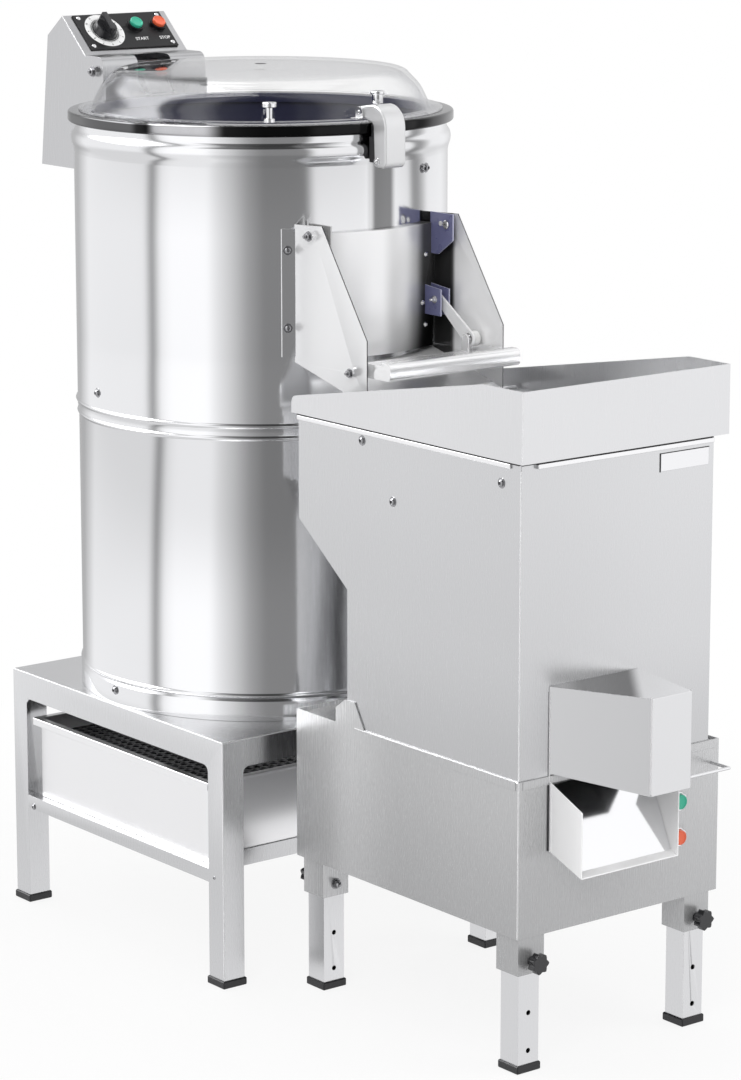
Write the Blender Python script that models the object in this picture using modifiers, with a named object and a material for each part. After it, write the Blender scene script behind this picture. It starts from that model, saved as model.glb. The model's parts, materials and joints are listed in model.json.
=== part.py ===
"""Potato peeling machine with the chipping machine that stands under its discharge.

The drum's axis is the vertical line x = 0, y = 0 of the machine frame and the floor is z = 0.
-Y is the discharge side, +X is to the right seen from there. Everything hangs from one empty
that moves the machine frame so that the finished object stands centred on the origin.
Lengths are metres.
"""

import math

import bmesh
import bpy
from mathutils import Matrix, Vector

# Values that every piece shares
GAP = 0.0003              # clearance between two pieces that touch
OVERRUN = 0.010           # how far a cutter runs past what it cuts
BITE = 0.0005             # how far two shapes of one piece sink into each other
SHEET = 0.002             # folded steel sheet
MERGE = 0.000003          # points nearer than this are one

# Facets round a turned shape
FINE_STEPS = 48
LID_STEPS = 36
MEDIUM_STEPS = 28
BUTTON_STEPS = 20
SMALL_STEPS = 14
TINY_STEPS = 10
NUT_SIDES = 6

# Angles in degrees
SMOOTH_ANGLE = 35
BEVEL_ANGLE = 60

# Drum: its radius, height and seam
DRUM_RADIUS = 0.3055
DRUM_WALL = 0.002
SEAM_STEP = 0.002
BASE_RING_PROUD = 0.0025
BASE_RING_HEIGHT = 0.036
LOWER_DRUM_HEIGHT = 0.4697
UPPER_DRUM_HEIGHT = 0.466
NECK_INSET = 0.005
NECK_HEIGHT = 0.008
BEAD_HEIGHT = 0.003
BEAD_LENGTH = 0.010
TOP_BEAD_LENGTH = 0.032
KEEPER_HALF_WIDTH = 0.016
KEEPER_HEIGHT = 0.020
LOWER_DRUM_RADIUS = DRUM_RADIUS - SEAM_STEP
BASE_RING_RADIUS = LOWER_DRUM_RADIUS + BASE_RING_PROUD
NECK_RADIUS = DRUM_RADIUS - NECK_INSET
DRUM_INNER_RADIUS = DRUM_RADIUS - DRUM_WALL
LOWER_INNER_RADIUS = LOWER_DRUM_RADIUS - DRUM_WALL

# Stand round the drum's foot
STAND_MARGIN = 0.004
STAND_REAR_CUT = 0.009
STAND_HEIGHT = 0.404
STAND_TUBE = 0.040
STAND_TUBE_WALL = 0.002
APRON_DEPTH = 0.045
RAIL_BOTTOM = 0.168
RAIL_DEPTH = 0.022
RAIL_WIDTH = 0.020
RUNNER_FLANGE = 0.024
RUNNER_WEB_DROP = 0.013
RUNNER_WEB_RISE = 0.014
STAND_HALF_WIDTH = BASE_RING_RADIUS + STAND_MARGIN
STAND_FRONT_Y = -STAND_HALF_WIDTH
STAND_REAR_Y = BASE_RING_RADIUS - STAND_REAR_CUT
RAIL_TOP = RAIL_BOTTOM + RAIL_DEPTH
RUNNER_WEB_BOTTOM = RAIL_TOP - RUNNER_WEB_DROP
RUNNER_WEB_TOP = RAIL_TOP + RUNNER_WEB_RISE

# Feet of both stands
FOOT_MARGIN = 0.003
FOOT_HEIGHT = 0.0125
FOOT_SOLE = 0.004
FOOT_BEVEL = 0.0015
FOOT_SIZE = STAND_TUBE + 2 * FOOT_MARGIN

# Drawer for the peel
DRAWER_FRONT_SETBACK = 0.014
DRAWER_BACK_SETBACK = 0.022
DRAWER_LEFT_PLAY = 0.014
DRAWER_RIGHT_PLAY = 0.0225
DRAWER_HEIGHT = 0.1377
DRAWER_LIP = 0.0105
DRAWER_LIP_THICKNESS = 0.004
SIEVE_DROP = 0.030
SIEVE_LEDGE = 0.008
SIEVE_HOLES_ACROSS = 6
SIEVE_HOLES_ALONG = 7
SIEVE_HOLE_RADIUS = 0.009
SIEVE_HOLE_SIDES = 6
DRAWER_FRONT_X = -STAND_HALF_WIDTH + DRAWER_FRONT_SETBACK
DRAWER_BACK_X = STAND_HALF_WIDTH - DRAWER_BACK_SETBACK
DRAWER_LEFT_Y = STAND_FRONT_Y + STAND_TUBE + DRAWER_LEFT_PLAY
DRAWER_RIGHT_Y = STAND_REAR_Y - STAND_TUBE - DRAWER_RIGHT_PLAY
DRAWER_BOTTOM = RAIL_TOP + GAP
DRAWER_TOP = DRAWER_BOTTOM + DRAWER_HEIGHT

# Heights of the drum on its stand
DRUM_BOTTOM = STAND_HEIGHT + GAP
SEAM_Z = DRUM_BOTTOM + LOWER_DRUM_HEIGHT
DRUM_TOP = SEAM_Z + UPPER_DRUM_HEIGHT

# Seal on the drum's rim
SEAL_OVERHANG = 0.0095
SEAL_WIDTH = 0.028
SEAL_HEIGHT = 0.0175
SEAL_ROUNDING = 0.004
SEAL_RADIUS = DRUM_RADIUS + SEAL_OVERHANG
SEAL_INNER_RADIUS = SEAL_RADIUS - SEAL_WIDTH
SEAL_BOTTOM = DRUM_TOP + GAP
SEAL_TOP = SEAL_BOTTOM + SEAL_HEIGHT

# Peeling chamber
LINER_THICKNESS = 0.003
LINER_DROP = 0.050
FLOOR_LIFT = 0.080
FLOOR_THICKNESS = 0.006
DISC_PLAY = 0.0082
DISC_LIFT = 0.012
DISC_THICKNESS = 0.020
DISC_DISH = 0.006
DISC_RIB_HEIGHT = 0.007
DISC_RIB_WIDTH = 0.018
DISC_RIB_COUNT = 4
DISC_HUB_RADIUS = 0.040
DISC_HUB_HEIGHT = 0.010
SHAFT_RADIUS = 0.0125
SHAFT_TAIL = 0.015
BEARING_RADIUS = 0.034
BEARING_LENGTH = 0.110
LINER_TOP = DRUM_TOP - LINER_DROP
FLOOR_TOP = SEAM_Z + FLOOR_LIFT
FLOOR_BOTTOM = FLOOR_TOP - FLOOR_THICKNESS
DISC_RADIUS = DRUM_INNER_RADIUS - GAP - LINER_THICKNESS - DISC_PLAY
DISC_BOTTOM = FLOOR_TOP + DISC_LIFT

# Belt drive and motor in the lower drum
DRIVEN_PULLEY_RADIUS = 0.125
MOTOR_PULLEY_RADIUS = 0.036
PULLEY_HEIGHT = 0.026
PULLEY_RIM = 0.006
PULLEY_DROP = 0.194
BELT_THICKNESS = 0.004
BELT_SIDE_GAP = 0.001
BELT_LARGE_STEPS = 20
BELT_SMALL_STEPS = 8
MOTOR_OFFSET_Y = 0.175
MOTOR_RADIUS = 0.078
MOTOR_HEIGHT = 0.300
MOTOR_FLANGE_RADIUS = 0.092
MOTOR_FLANGE_HEIGHT = 0.012
MOTOR_SHAFT_RADIUS = 0.011
PULLEY_BOTTOM = FLOOR_TOP - PULLEY_DROP
PULLEY_TOP = PULLEY_BOTTOM + PULLEY_HEIGHT
SHAFT_BOTTOM = PULLEY_BOTTOM - SHAFT_TAIL

# Water in and out
DRAIN_X = -0.185
DRAIN_RADIUS = 0.035
DRAIN_WALL = 0.002
DRAIN_FLANGE = 0.012
DRAIN_CLEARANCE = 0.0170
INLET_DROP = 0.150
INLET_RADIUS = 0.0125
INLET_BORE = 0.0085
INLET_REACH = 0.058
INLET_FLANGE_RADIUS = 0.024
INLET_FLANGE_THICKNESS = 0.006
DRAIN_END = DRAWER_TOP + DRAIN_CLEARANCE
INLET_Z = DRUM_TOP - INLET_DROP

# Lid
LID_WALL = 0.004
LID_FLANGE_SETBACK = 0.018
LID_FLANGE_WIDTH = 0.020
LID_FLANK_WIDTH = 0.034
LID_RISE = 0.0679
LID_CROWN_SHARES = ((0.5, 0.98), (0.9, 0.92), (1.0, 0.80))    # of the shoulder's radius, of the rise
LID_FLANK_SHARES = ((0.6, 0.5),)                             # of the way to the base, of the rise
LID_VENT_RADIUS = 0.0125
STUD_ANGLE = 236.3                                           # degrees round the drum's axis
STUD_INSET = 0.0086
STUD_HEIGHT = 0.031
STUD_RADIUS = 0.0053
STUD_HEAD_RADIUS = 0.0115
STUD_HEAD_HEIGHT = 0.008
LID_FLANGE_RADIUS = SEAL_RADIUS - LID_FLANGE_SETBACK
LID_BASE_RADIUS = LID_FLANGE_RADIUS - LID_FLANGE_WIDTH
LID_SHOULDER_RADIUS = LID_BASE_RADIUS - LID_FLANK_WIDTH
LID_FLANGE_BOTTOM = SEAL_TOP + GAP
LID_FLANGE_TOP = LID_FLANGE_BOTTOM + LID_WALL
LID_TOP_Z = LID_FLANGE_TOP + LID_RISE
STUD_X = (LID_FLANGE_RADIUS - STUD_INSET) * math.cos(math.radians(STUD_ANGLE))
STUD_Y = (LID_FLANGE_RADIUS - STUD_INSET) * math.sin(math.radians(STUD_ANGLE))

# Lid hinge
HINGE_BEHIND_SEAL = 0.012
HINGE_ABOVE_LID = 0.0389
HINGE_PIN_RADIUS = 0.005
HINGE_KNUCKLE_RADIUS = 0.015
HINGE_ARM_HALF_WIDTH = 0.024
HINGE_ARM_DEPTH = 0.012
HINGE_PAD_SETBACK = 0.0015
HINGE_PAD_THICKNESS = 0.004
HINGE_PIN_HEAD = 0.005
HINGE_PIN_HEAD_RADIUS = 0.009
HINGE_KNUCKLE_ARC = (-100, 125)
HINGE_Y = SEAL_RADIUS + HINGE_BEHIND_SEAL
HINGE_Z = LID_FLANGE_TOP + HINGE_ABOVE_LID
HINGE_PAD_FRONT_Y = LID_BASE_RADIUS + HINGE_PAD_SETBACK

# Latch over the rim
LATCH_HALF_WIDTH = 0.021
LATCH_CLEARANCE = 0.0105
LATCH_LEG = 0.029
LATCH_REACH = 0.051
LATCH_THICKNESS = 0.0225
LATCH_PIVOT_SETBACK = 0.0055
LATCH_PIVOT_LIFT = 0.0114
LATCH_CROWN = 0.0135
LATCH_KNUCKLE_RADIUS = 0.0095
LATCH_PIN_RADIUS = 0.003
LATCH_EAR_THICKNESS = 0.003
LATCH_EAR_FOOT = 0.010
LATCH_KNOB_OFFSET = 0.017
LATCH_KNOB_STEM_RADIUS = 0.00875
LATCH_KNOB_HEAD_RADIUS = 0.0115
LATCH_KNOB_HEAD_HEIGHT = 0.006
LATCH_KNOB_HEIGHT = 0.020
LATCH_SCREW_RADIUS = 0.004
LATCH_SCREW_LENGTH = 0.010
LATCH_KNUCKLE_ARC = (75, -120)
LATCH_INNER_Y = -SEAL_RADIUS - LATCH_CLEARANCE
LATCH_OUTER_Y = LATCH_INNER_Y - LATCH_LEG
LATCH_PIVOT_Y = -LID_FLANGE_RADIUS + LATCH_PIVOT_SETBACK
LATCH_PIVOT_Z = LID_FLANGE_TOP + LATCH_PIVOT_LIFT
LATCH_CREST_Z = LATCH_PIVOT_Z + LATCH_CROWN
LATCH_KNOB_Y = LATCH_PIVOT_Y - LATCH_KNOB_OFFSET
LATCH_BOTTOM = DRUM_TOP - LATCH_REACH

# Control box behind the drum, placed from the lid's hinge
BOX_HALF_WIDTH = 0.105
BOX_DEPTH_BELOW_HINGE = 0.170
BOX_REACH = 0.170
BOX_REAR_LEAN = 0.025
BOX_REAR_RISE = 0.053
BOX_HIDDEN = 0.0655          # how far the box runs into the drum before the drum is cut away
PANEL_SETBACK = 0.030
PANEL_LIFT = 0.025
PANEL_RUN = 0.069
PANEL_RISE = 0.063
NOSE_SETBACK = 0.024
NOSE_DROP = 0.0185
NOSE_ROUNDING = 0.016
NOSE_STEPS = 5
NOSE_NOTCH_HALF_WIDTH = 0.034
NOSE_NOTCH_REAR = 0.023
PANEL_LEFT_X = -0.088
PANEL_RIGHT_X = 0.0925
PANEL_START = 0.0095
PANEL_LENGTH = 0.0815
PANEL_THICKNESS = 0.0025
PANEL_ROUNDING = 0.0008
DIAL_X = -0.040
DIAL_UP = 0.052
DIAL_SKIRT_RADIUS = 0.0225
DIAL_TOP_RADIUS = 0.0185
DIAL_HEIGHT = 0.011
DIAL_GRIP_HEIGHT = 0.013
DIAL_GRIP_HALF_WIDTH = 0.0055
DIAL_GRIP_ROUNDING = 0.0018
DIAL_SHAFT_RADIUS = 0.003
TIMER_SIZE = 0.046
TIMER_DEPTH = 0.030
START_X = 0.026
STOP_X = 0.073
BUTTONS_UP = 0.060
COLLAR_WALL = 0.0035
COLLAR_HEIGHT = 0.006
BUTTON_RADIUS = 0.0115
BUTTON_PROUD = 0.005
BUTTON_STEM_RADIUS = 0.008
BUTTON_DEPTH = 0.018
BUTTON_TRAVEL = 0.0035
COLLAR_RADIUS = BUTTON_RADIUS + COLLAR_WALL
BOX_BOTTOM = HINGE_Z - BOX_DEPTH_BELOW_HINGE
BOX_CUT_Y = DRUM_RADIUS - BOX_HIDDEN
BOX_REAR_Y = HINGE_Y + BOX_REACH
BOX_REAR_TOP_Y = BOX_REAR_Y - BOX_REAR_LEAN
BOX_REAR_TOP_Z = HINGE_Z + BOX_REAR_RISE
PANEL_BOTTOM_Y = HINGE_Y + PANEL_SETBACK
PANEL_BOTTOM_Z = HINGE_Z + PANEL_LIFT
PANEL_TOP_Y = PANEL_BOTTOM_Y + PANEL_RUN
PANEL_TOP_Z = PANEL_BOTTOM_Z + PANEL_RISE
PANEL_SLOPE = math.atan2(PANEL_RISE, PANEL_RUN)
NOSE_FRONT_Y = HINGE_Y - NOSE_SETBACK
NOSE_BOTTOM_Z = HINGE_Z - NOSE_DROP
NOSE_NOTCH_REAR_Y = HINGE_Y + NOSE_NOTCH_REAR

# Discharge: window, cheeks, sloping floor and door
WINDOW_HALF_WIDTH = 0.115
WINDOW_LIFT = 0.041
WINDOW_HEIGHT = 0.180
CHEEK_SPREAD = 0.022
CHEEK_TOP_REAR_LIFT = 0.028
CHEEK_TOP_LIFT = 0.032
CHEEK_TOP_REACH = 0.0375
CHEEK_REACH = 0.1505
CHEEK_SHOULDER_LIFT = 0.047
CHEEK_FRONT_DROP = 0.052
CHEEK_REAR_DROP = 0.007
CHEEK_REAR_BURIED = 0.0315
CHEEK_FLANGE_WIDTH = 0.019
CHEEK_FLANGE_LIFT = 0.022
CHUTE_FLOOR_SETBACK = 0.021
DOOR_GAP = 0.001
DOOR_THICKNESS = 0.0115
DOOR_OVERLAP = 0.012
DOOR_TOP_LIFT = 0.014
DOOR_BOTTOM_DROP = 0.005
DOOR_PIVOT_REACH = 0.0132
DOOR_PIVOT_LIFT = 0.015
DOOR_BOLT_RADIUS = 0.004
DOOR_BOLT_HEAD = 0.005
DOOR_BOLT_HEAD_RADIUS = 0.0075
LUG_INSET = 0.005
LUG_THICKNESS = 0.003
LUG_REACH = 0.0293
LUG_RISE = 0.017
LUG_DROP = 0.025
LUG_TONGUE_REACH = 0.0067
LUG_TONGUE_DROP = 0.050
WINDOW_BOTTOM = FLOOR_TOP + WINDOW_LIFT
WINDOW_TOP = WINDOW_BOTTOM + WINDOW_HEIGHT
CHEEK_X = WINDOW_HALF_WIDTH + CHEEK_SPREAD
CHEEK_TOP_REAR_Z = WINDOW_TOP + CHEEK_TOP_REAR_LIFT
CHEEK_TOP_Y = -DRUM_RADIUS - CHEEK_TOP_REACH
CHEEK_TOP_Z = WINDOW_TOP + CHEEK_TOP_LIFT
CHEEK_FRONT_Y = -DRUM_RADIUS - CHEEK_REACH
CHEEK_SHOULDER_Z = WINDOW_BOTTOM + CHEEK_SHOULDER_LIFT
CHEEK_BOTTOM_FRONT_Z = WINDOW_BOTTOM - CHEEK_FRONT_DROP
CHEEK_BOTTOM_REAR_Y = -DRUM_RADIUS + CHEEK_REAR_BURIED
CHEEK_BOTTOM_REAR_Z = WINDOW_BOTTOM - CHEEK_REAR_DROP
CHEEK_FLANGE_X = CHEEK_X + CHEEK_FLANGE_WIDTH
CHEEK_FLANGE_TOP = WINDOW_TOP + CHEEK_FLANGE_LIFT
CHUTE_FLOOR_END_Y = CHEEK_FRONT_Y + CHUTE_FLOOR_SETBACK
DOOR_PIVOT_Y = -DRUM_RADIUS - DOOR_PIVOT_REACH
DOOR_PIVOT_Z = WINDOW_TOP + DOOR_PIVOT_LIFT
DOOR_HALF_WIDTH = WINDOW_HALF_WIDTH + DOOR_OVERLAP
DOOR_TOP = WINDOW_TOP + DOOR_TOP_LIFT
DOOR_BOTTOM = WINDOW_BOTTOM - DOOR_BOTTOM_DROP
DOOR_INNER_RADIUS = DRUM_RADIUS + DOOR_GAP
DOOR_OUTER_RADIUS = DOOR_INNER_RADIUS + DOOR_THICKNESS
LUG_X = DOOR_HALF_WIDTH - LUG_INSET
LUG_FRONT_Y = DOOR_PIVOT_Y - LUG_REACH
LUG_TOP = DOOR_PIVOT_Z + LUG_RISE
LUG_BOTTOM = DOOR_PIVOT_Z - LUG_DROP
LUG_TONGUE_Y = DOOR_PIVOT_Y + LUG_TONGUE_REACH
LUG_TONGUE_BOTTOM = DOOR_PIVOT_Z - LUG_TONGUE_DROP

# Lever tray and the toggle link that works the door
TRAY_PIVOT_SETBACK = 0.0344
TRAY_PIVOT_DROP = 0.0063
TRAY_SIDE_PLAY = 0.007
TRAY_REAR_REACH = 0.0306
TRAY_FRONT_REACH = 0.0834
TRAY_LIP_DEPTH = 0.020
TRAY_LIP_DROP = 0.0047
TRAY_LIP_RISE = 0.0223
TRAY_LIP_ROUNDING = 0.007
LIP_STEPS = 3
TRAY_SIDE_RISE = 0.0173
TRAY_PLATE_RISE = 0.0053
TRAY_ROD_RADIUS = 0.004
TRAY_TUBE_RADIUS = 0.0065
ROD_HEAD_RADIUS = 0.0065
ROD_HEAD = 0.006
TOGGLE_TOP_REACH = 0.0063
TOGGLE_TOP_DROP = 0.120
TOGGLE_BOTTOM_REACH = 0.0216
TOGGLE_BOTTOM_RISE = 0.0263
TOGGLE_PIN_RADIUS = 0.003
TOGGLE_SLOP = 0.0060
CLEVIS_WIDTH = 0.0185
CLEVIS_RISE = 0.022
CLEVIS_DROP = 0.026
CLEVIS_SLOPE = 0.005
CLEVIS_REACH = 0.014
LINK_OFFSET = 0.008
LINK_THICKNESS = 0.004
LINK_HALF_WIDTH = 0.008
LINK_END_RADIUS = 0.0125
ROLLER_RADIUS = 0.012
ROLLER_LENGTH = 0.011
TRAY_PIVOT_Y = CHEEK_FRONT_Y + TRAY_PIVOT_SETBACK
TRAY_PIVOT_Z = WINDOW_BOTTOM - TRAY_PIVOT_DROP
TRAY_HALF_WIDTH = CHEEK_X - TRAY_SIDE_PLAY
TRAY_REAR_Y = TRAY_PIVOT_Y + TRAY_REAR_REACH
TRAY_FRONT_Y = TRAY_PIVOT_Y - TRAY_FRONT_REACH
TRAY_LIP_BOTTOM = TRAY_PIVOT_Z - TRAY_LIP_DROP
TRAY_LIP_TOP = TRAY_PIVOT_Z + TRAY_LIP_RISE
TRAY_SIDE_TOP = TRAY_PIVOT_Z + TRAY_SIDE_RISE
TRAY_PLATE_BOTTOM = TRAY_PIVOT_Z + TRAY_PLATE_RISE
TOGGLE_TOP_Y = DOOR_PIVOT_Y - TOGGLE_TOP_REACH
TOGGLE_TOP_Z = DOOR_PIVOT_Z - TOGGLE_TOP_DROP
TOGGLE_BOTTOM_Y = TRAY_PIVOT_Y + TOGGLE_BOTTOM_REACH
TOGGLE_BOTTOM_Z = TRAY_PIVOT_Z + TOGGLE_BOTTOM_RISE
CLEVIS_LEFT_X = LUG_X - CLEVIS_WIDTH
CLEVIS_TOP = TOGGLE_TOP_Z + CLEVIS_RISE
CLEVIS_BOTTOM = TOGGLE_TOP_Z - CLEVIS_DROP
CLEVIS_FRONT_Y = TOGGLE_TOP_Y - CLEVIS_REACH
LINK_X = CLEVIS_LEFT_X + LINK_OFFSET
EAR_X = CLEVIS_LEFT_X

# Chipping machine: base, housing and hopper, its rear docked under the discharge
DOCK_REACH = 0.0465
BASE_LEFT_X = -0.196
BASE_RIGHT_X = 0.205
BASE_LENGTH = 0.538
BASE_BOTTOM = 0.211
BASE_HEIGHT = 0.240
DECK_DROP = 0.006
HOUSING_HEIGHT = 0.4773
HOUSING_RIGHT_SETBACK = 0.020
HOUSING_REAR_SETBACK = 0.0045
HOUSING_WAIST_SETBACK = 0.127
HOUSING_CHAMFER_LIFT = 0.3122
HOUSING_WAIST_LIFT = 0.2197
HOPPER_LEFT_OVERHANG = 0.0033
HOPPER_RIGHT_OVERHANG = 0.025
HOPPER_FRONT_OVERHANG = 0.0063
HOPPER_REAR_OVERHANG = 0.0135
HOPPER_BASE_THICKNESS = 0.004
HOPPER_FRONT_HEIGHT = 0.1061
HOPPER_REAR_HEIGHT = 0.0281
HOPPER_LEVEL_LENGTH = 0.089
HOPPER_REAR_ROUNDING = 0.012
HOPPER_RIM = 0.012
THROAT_HALF_WIDTH = 0.100
THROAT_FRONT_REACH = 0.110
THROAT_REAR_REACH = 0.090
THROAT_DEPTH = 0.1269
EAR_REAR_SETBACK = 0.101
EAR_FRONT_SETBACK = 0.176
EAR_TOP_FRONT_SETBACK = 0.148
EAR_RISE = 0.040
EAR_PIN_SETBACK = 0.125
EAR_PIN_RISE = 0.023
BASE_REAR_Y = -DRUM_RADIUS - DOCK_REACH
BASE_FRONT_Y = BASE_REAR_Y - BASE_LENGTH
BASE_TOP = BASE_BOTTOM + BASE_HEIGHT
DECK_TOP = BASE_TOP - DECK_DROP
HOUSING_LEFT_X = BASE_LEFT_X + SHEET + GAP
HOUSING_RIGHT_X = BASE_RIGHT_X - HOUSING_RIGHT_SETBACK
HOUSING_FRONT_Y = BASE_FRONT_Y + SHEET + GAP
HOUSING_REAR_Y = BASE_REAR_Y - HOUSING_REAR_SETBACK
HOUSING_WAIST_Y = BASE_REAR_Y - HOUSING_WAIST_SETBACK
HOUSING_BOTTOM = DECK_TOP + GAP
HOUSING_TOP = HOUSING_BOTTOM + HOUSING_HEIGHT
HOUSING_CHAMFER_TOP = HOUSING_BOTTOM + HOUSING_CHAMFER_LIFT
HOUSING_CHAMFER_BOTTOM = HOUSING_BOTTOM + HOUSING_WAIST_LIFT
HOPPER_LEFT_X = HOUSING_LEFT_X - HOPPER_LEFT_OVERHANG
HOPPER_RIGHT_X = HOUSING_RIGHT_X + HOPPER_RIGHT_OVERHANG
HOPPER_FRONT_Y = HOUSING_FRONT_Y - HOPPER_FRONT_OVERHANG
HOPPER_REAR_Y = HOUSING_REAR_Y + HOPPER_REAR_OVERHANG
HOPPER_BOTTOM = HOUSING_TOP + GAP
HOPPER_TOP = HOPPER_BOTTOM + HOPPER_FRONT_HEIGHT
HOPPER_REAR_TOP = HOPPER_BOTTOM + HOPPER_REAR_HEIGHT
HOPPER_LEVEL_Y = HOPPER_FRONT_Y + HOPPER_LEVEL_LENGTH
EAR_REAR_Y = BASE_REAR_Y - EAR_REAR_SETBACK
EAR_FRONT_Y = BASE_REAR_Y - EAR_FRONT_SETBACK
EAR_TOP_FRONT_Y = BASE_REAR_Y - EAR_TOP_FRONT_SETBACK
EAR_TOP = BASE_TOP + EAR_RISE
EAR_PIN_Y = BASE_REAR_Y - EAR_PIN_SETBACK
EAR_PIN_Z = BASE_TOP + EAR_PIN_RISE

# Chipping works
ROTOR_SETBACK = 0.338
BOWL_RADIUS = 0.165
BOWL_HEIGHT = 0.130
ROTOR_PLAY = 0.010
ROTOR_DISC_THICKNESS = 0.008
ROTOR_LIFT = 0.004
ROTOR_HUB_RADIUS = 0.030
ROTOR_PADDLE_HEIGHT = 0.090
ROTOR_PADDLE_THICKNESS = 0.006
ROTOR_PADDLE_COUNT = 3
ROTOR_PADDLE_INSET = 0.004
ROTOR_PADDLE_DROP = 0.015
ROTOR_CAP = 0.030
CUTTER_MOTOR_RADIUS = 0.075
CUTTER_MOTOR_HEIGHT = 0.190
CUTTER_SHAFT_RADIUS = 0.012
KNIFE_LEFT_X = -0.120
KNIFE_RIGHT_X = 0.020
KNIFE_LIFT = 0.011
KNIFE_HEIGHT = 0.104
KNIFE_THICKNESS = 0.012
KNIFE_FRAME = 0.010
KNIFE_BLADE = 0.002
KNIFE_COLUMNS = 6
KNIFE_ROWS = 5
ROTOR_X = 0.0
ROTOR_Y = BASE_REAR_Y - ROTOR_SETBACK
ROTOR_RADIUS = BOWL_RADIUS - ROTOR_PLAY
KNIFE_BOTTOM = BASE_TOP + KNIFE_LIFT
KNIFE_TOP = KNIFE_BOTTOM + KNIFE_HEIGHT
THROAT_FRONT_Y = ROTOR_Y - THROAT_FRONT_REACH
THROAT_REAR_Y = ROTOR_Y + THROAT_REAR_REACH
THROAT_Z = HOPPER_BOTTOM + HOPPER_BASE_THICKNESS - THROAT_DEPTH

# Hood and outlet chute in front
HOOD_LEFT_MARGIN = 0.017
HOOD_RIGHT_MARGIN = 0.0185
HOOD_CORNER_X = -0.040
HOOD_REACH = 0.1155
HOOD_TOP_MARGIN = 0.021
HOOD_TOP_FALL = 0.011
HOOD_REAR_HEIGHT = 0.1325
HOOD_FRONT_HEIGHT = 0.148
CHUTE_LEFT_X = -0.136
CHUTE_RIGHT_X = 0.057
CHUTE_REACH = 0.0725
CHUTE_BACK_LIFT = 0.125
CHUTE_BACK_HEIGHT = 0.106
CHUTE_FALL = 0.026
CHUTE_FRONT_HEIGHT = 0.101
HOOD_LEFT_X = KNIFE_LEFT_X - HOOD_LEFT_MARGIN
HOOD_RIGHT_X = KNIFE_RIGHT_X + HOOD_RIGHT_MARGIN
HOOD_FRONT_Y = BASE_FRONT_Y - HOOD_REACH
HOOD_TOP_REAR = KNIFE_TOP + HOOD_TOP_MARGIN
HOOD_TOP_FRONT = HOOD_TOP_REAR - HOOD_TOP_FALL
HOOD_BOTTOM_REAR = HOOD_TOP_REAR - HOOD_REAR_HEIGHT
HOOD_BOTTOM_FRONT = HOOD_TOP_FRONT - HOOD_FRONT_HEIGHT
CHUTE_FRONT_Y = BASE_FRONT_Y - CHUTE_REACH
CHUTE_BACK_BOTTOM = BASE_BOTTOM + CHUTE_BACK_LIFT
CHUTE_BACK_TOP = CHUTE_BACK_BOTTOM + CHUTE_BACK_HEIGHT
CHUTE_FRONT_BOTTOM = CHUTE_BACK_BOTTOM - CHUTE_FALL
CHUTE_FRONT_TOP = CHUTE_FRONT_BOTTOM + CHUTE_FRONT_HEIGHT

# Buttons of the chipping machine
CUTTER_BUTTON_INSET = 0.085
CUTTER_START_DROP = 0.084
CUTTER_BUTTON_PITCH = 0.056
CUTTER_COLLAR_WALL = 0.004
CUTTER_BUTTON_X = BASE_RIGHT_X - CUTTER_BUTTON_INSET
CUTTER_START_Z = BASE_TOP - CUTTER_START_DROP
CUTTER_STOP_Z = CUTTER_START_Z - CUTTER_BUTTON_PITCH
CUTTER_COLLAR_RADIUS = BUTTON_RADIUS + CUTTER_COLLAR_WALL

# Telescopic legs of the chipping machine
LEG_LEFT_MARGIN = 0.003
LEG_RIGHT_MARGIN = 0.015
LEG_FRONT_MARGIN = 0.001
LEG_REAR_MARGIN = 0.014
SLEEVE_SIZE = 0.050
SLEEVE_DROP = 0.057
SLEEVE_BORE_MARGIN = 0.051
LEG_SIZE = 0.040
LEG_WALL = 0.003
LEG_LENGTH = 0.2577
LEG_CLEARANCE = 0.0005
LEG_HOLE_RADIUS = 0.004
LEG_FIRST_HOLE = 0.033
LEG_HOLE_SPACING = 0.059
LEG_HOLE_COUNT = 2
CLAMP_LIFT = 0.020
CLAMP_KNOB_RADIUS = 0.0145
CLAMP_LOBE_DEPTH = 0.0020
CLAMP_LOBES = 7
CLAMP_POINTS_A_LOBE = 4
CLAMP_KNOB_LENGTH = 0.013
CLAMP_HUB_RADIUS = 0.008
CLAMP_HUB_LENGTH = 0.010
CLAMP_SCREW_RADIUS = 0.004
LEG_LEFT_X = BASE_LEFT_X + LEG_LEFT_MARGIN + SLEEVE_SIZE / 2
LEG_RIGHT_X = BASE_RIGHT_X - LEG_RIGHT_MARGIN - SLEEVE_SIZE / 2
LEG_FRONT_Y = BASE_FRONT_Y + LEG_FRONT_MARGIN + SLEEVE_SIZE / 2
LEG_REAR_Y = BASE_REAR_Y - LEG_REAR_MARGIN - SLEEVE_SIZE / 2
SLEEVE_BOTTOM = BASE_BOTTOM - SLEEVE_DROP
SLEEVE_TOP = BASE_TOP - SLEEVE_BORE_MARGIN
LEG_BOTTOM = FOOT_SOLE + GAP
LEG_TOP = LEG_BOTTOM + LEG_LENGTH
CLAMP_Z = SLEEVE_BOTTOM + CLAMP_LIFT

MIDDLE_Y = (BOX_REAR_Y + HOOD_FRONT_Y) / 2

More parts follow.
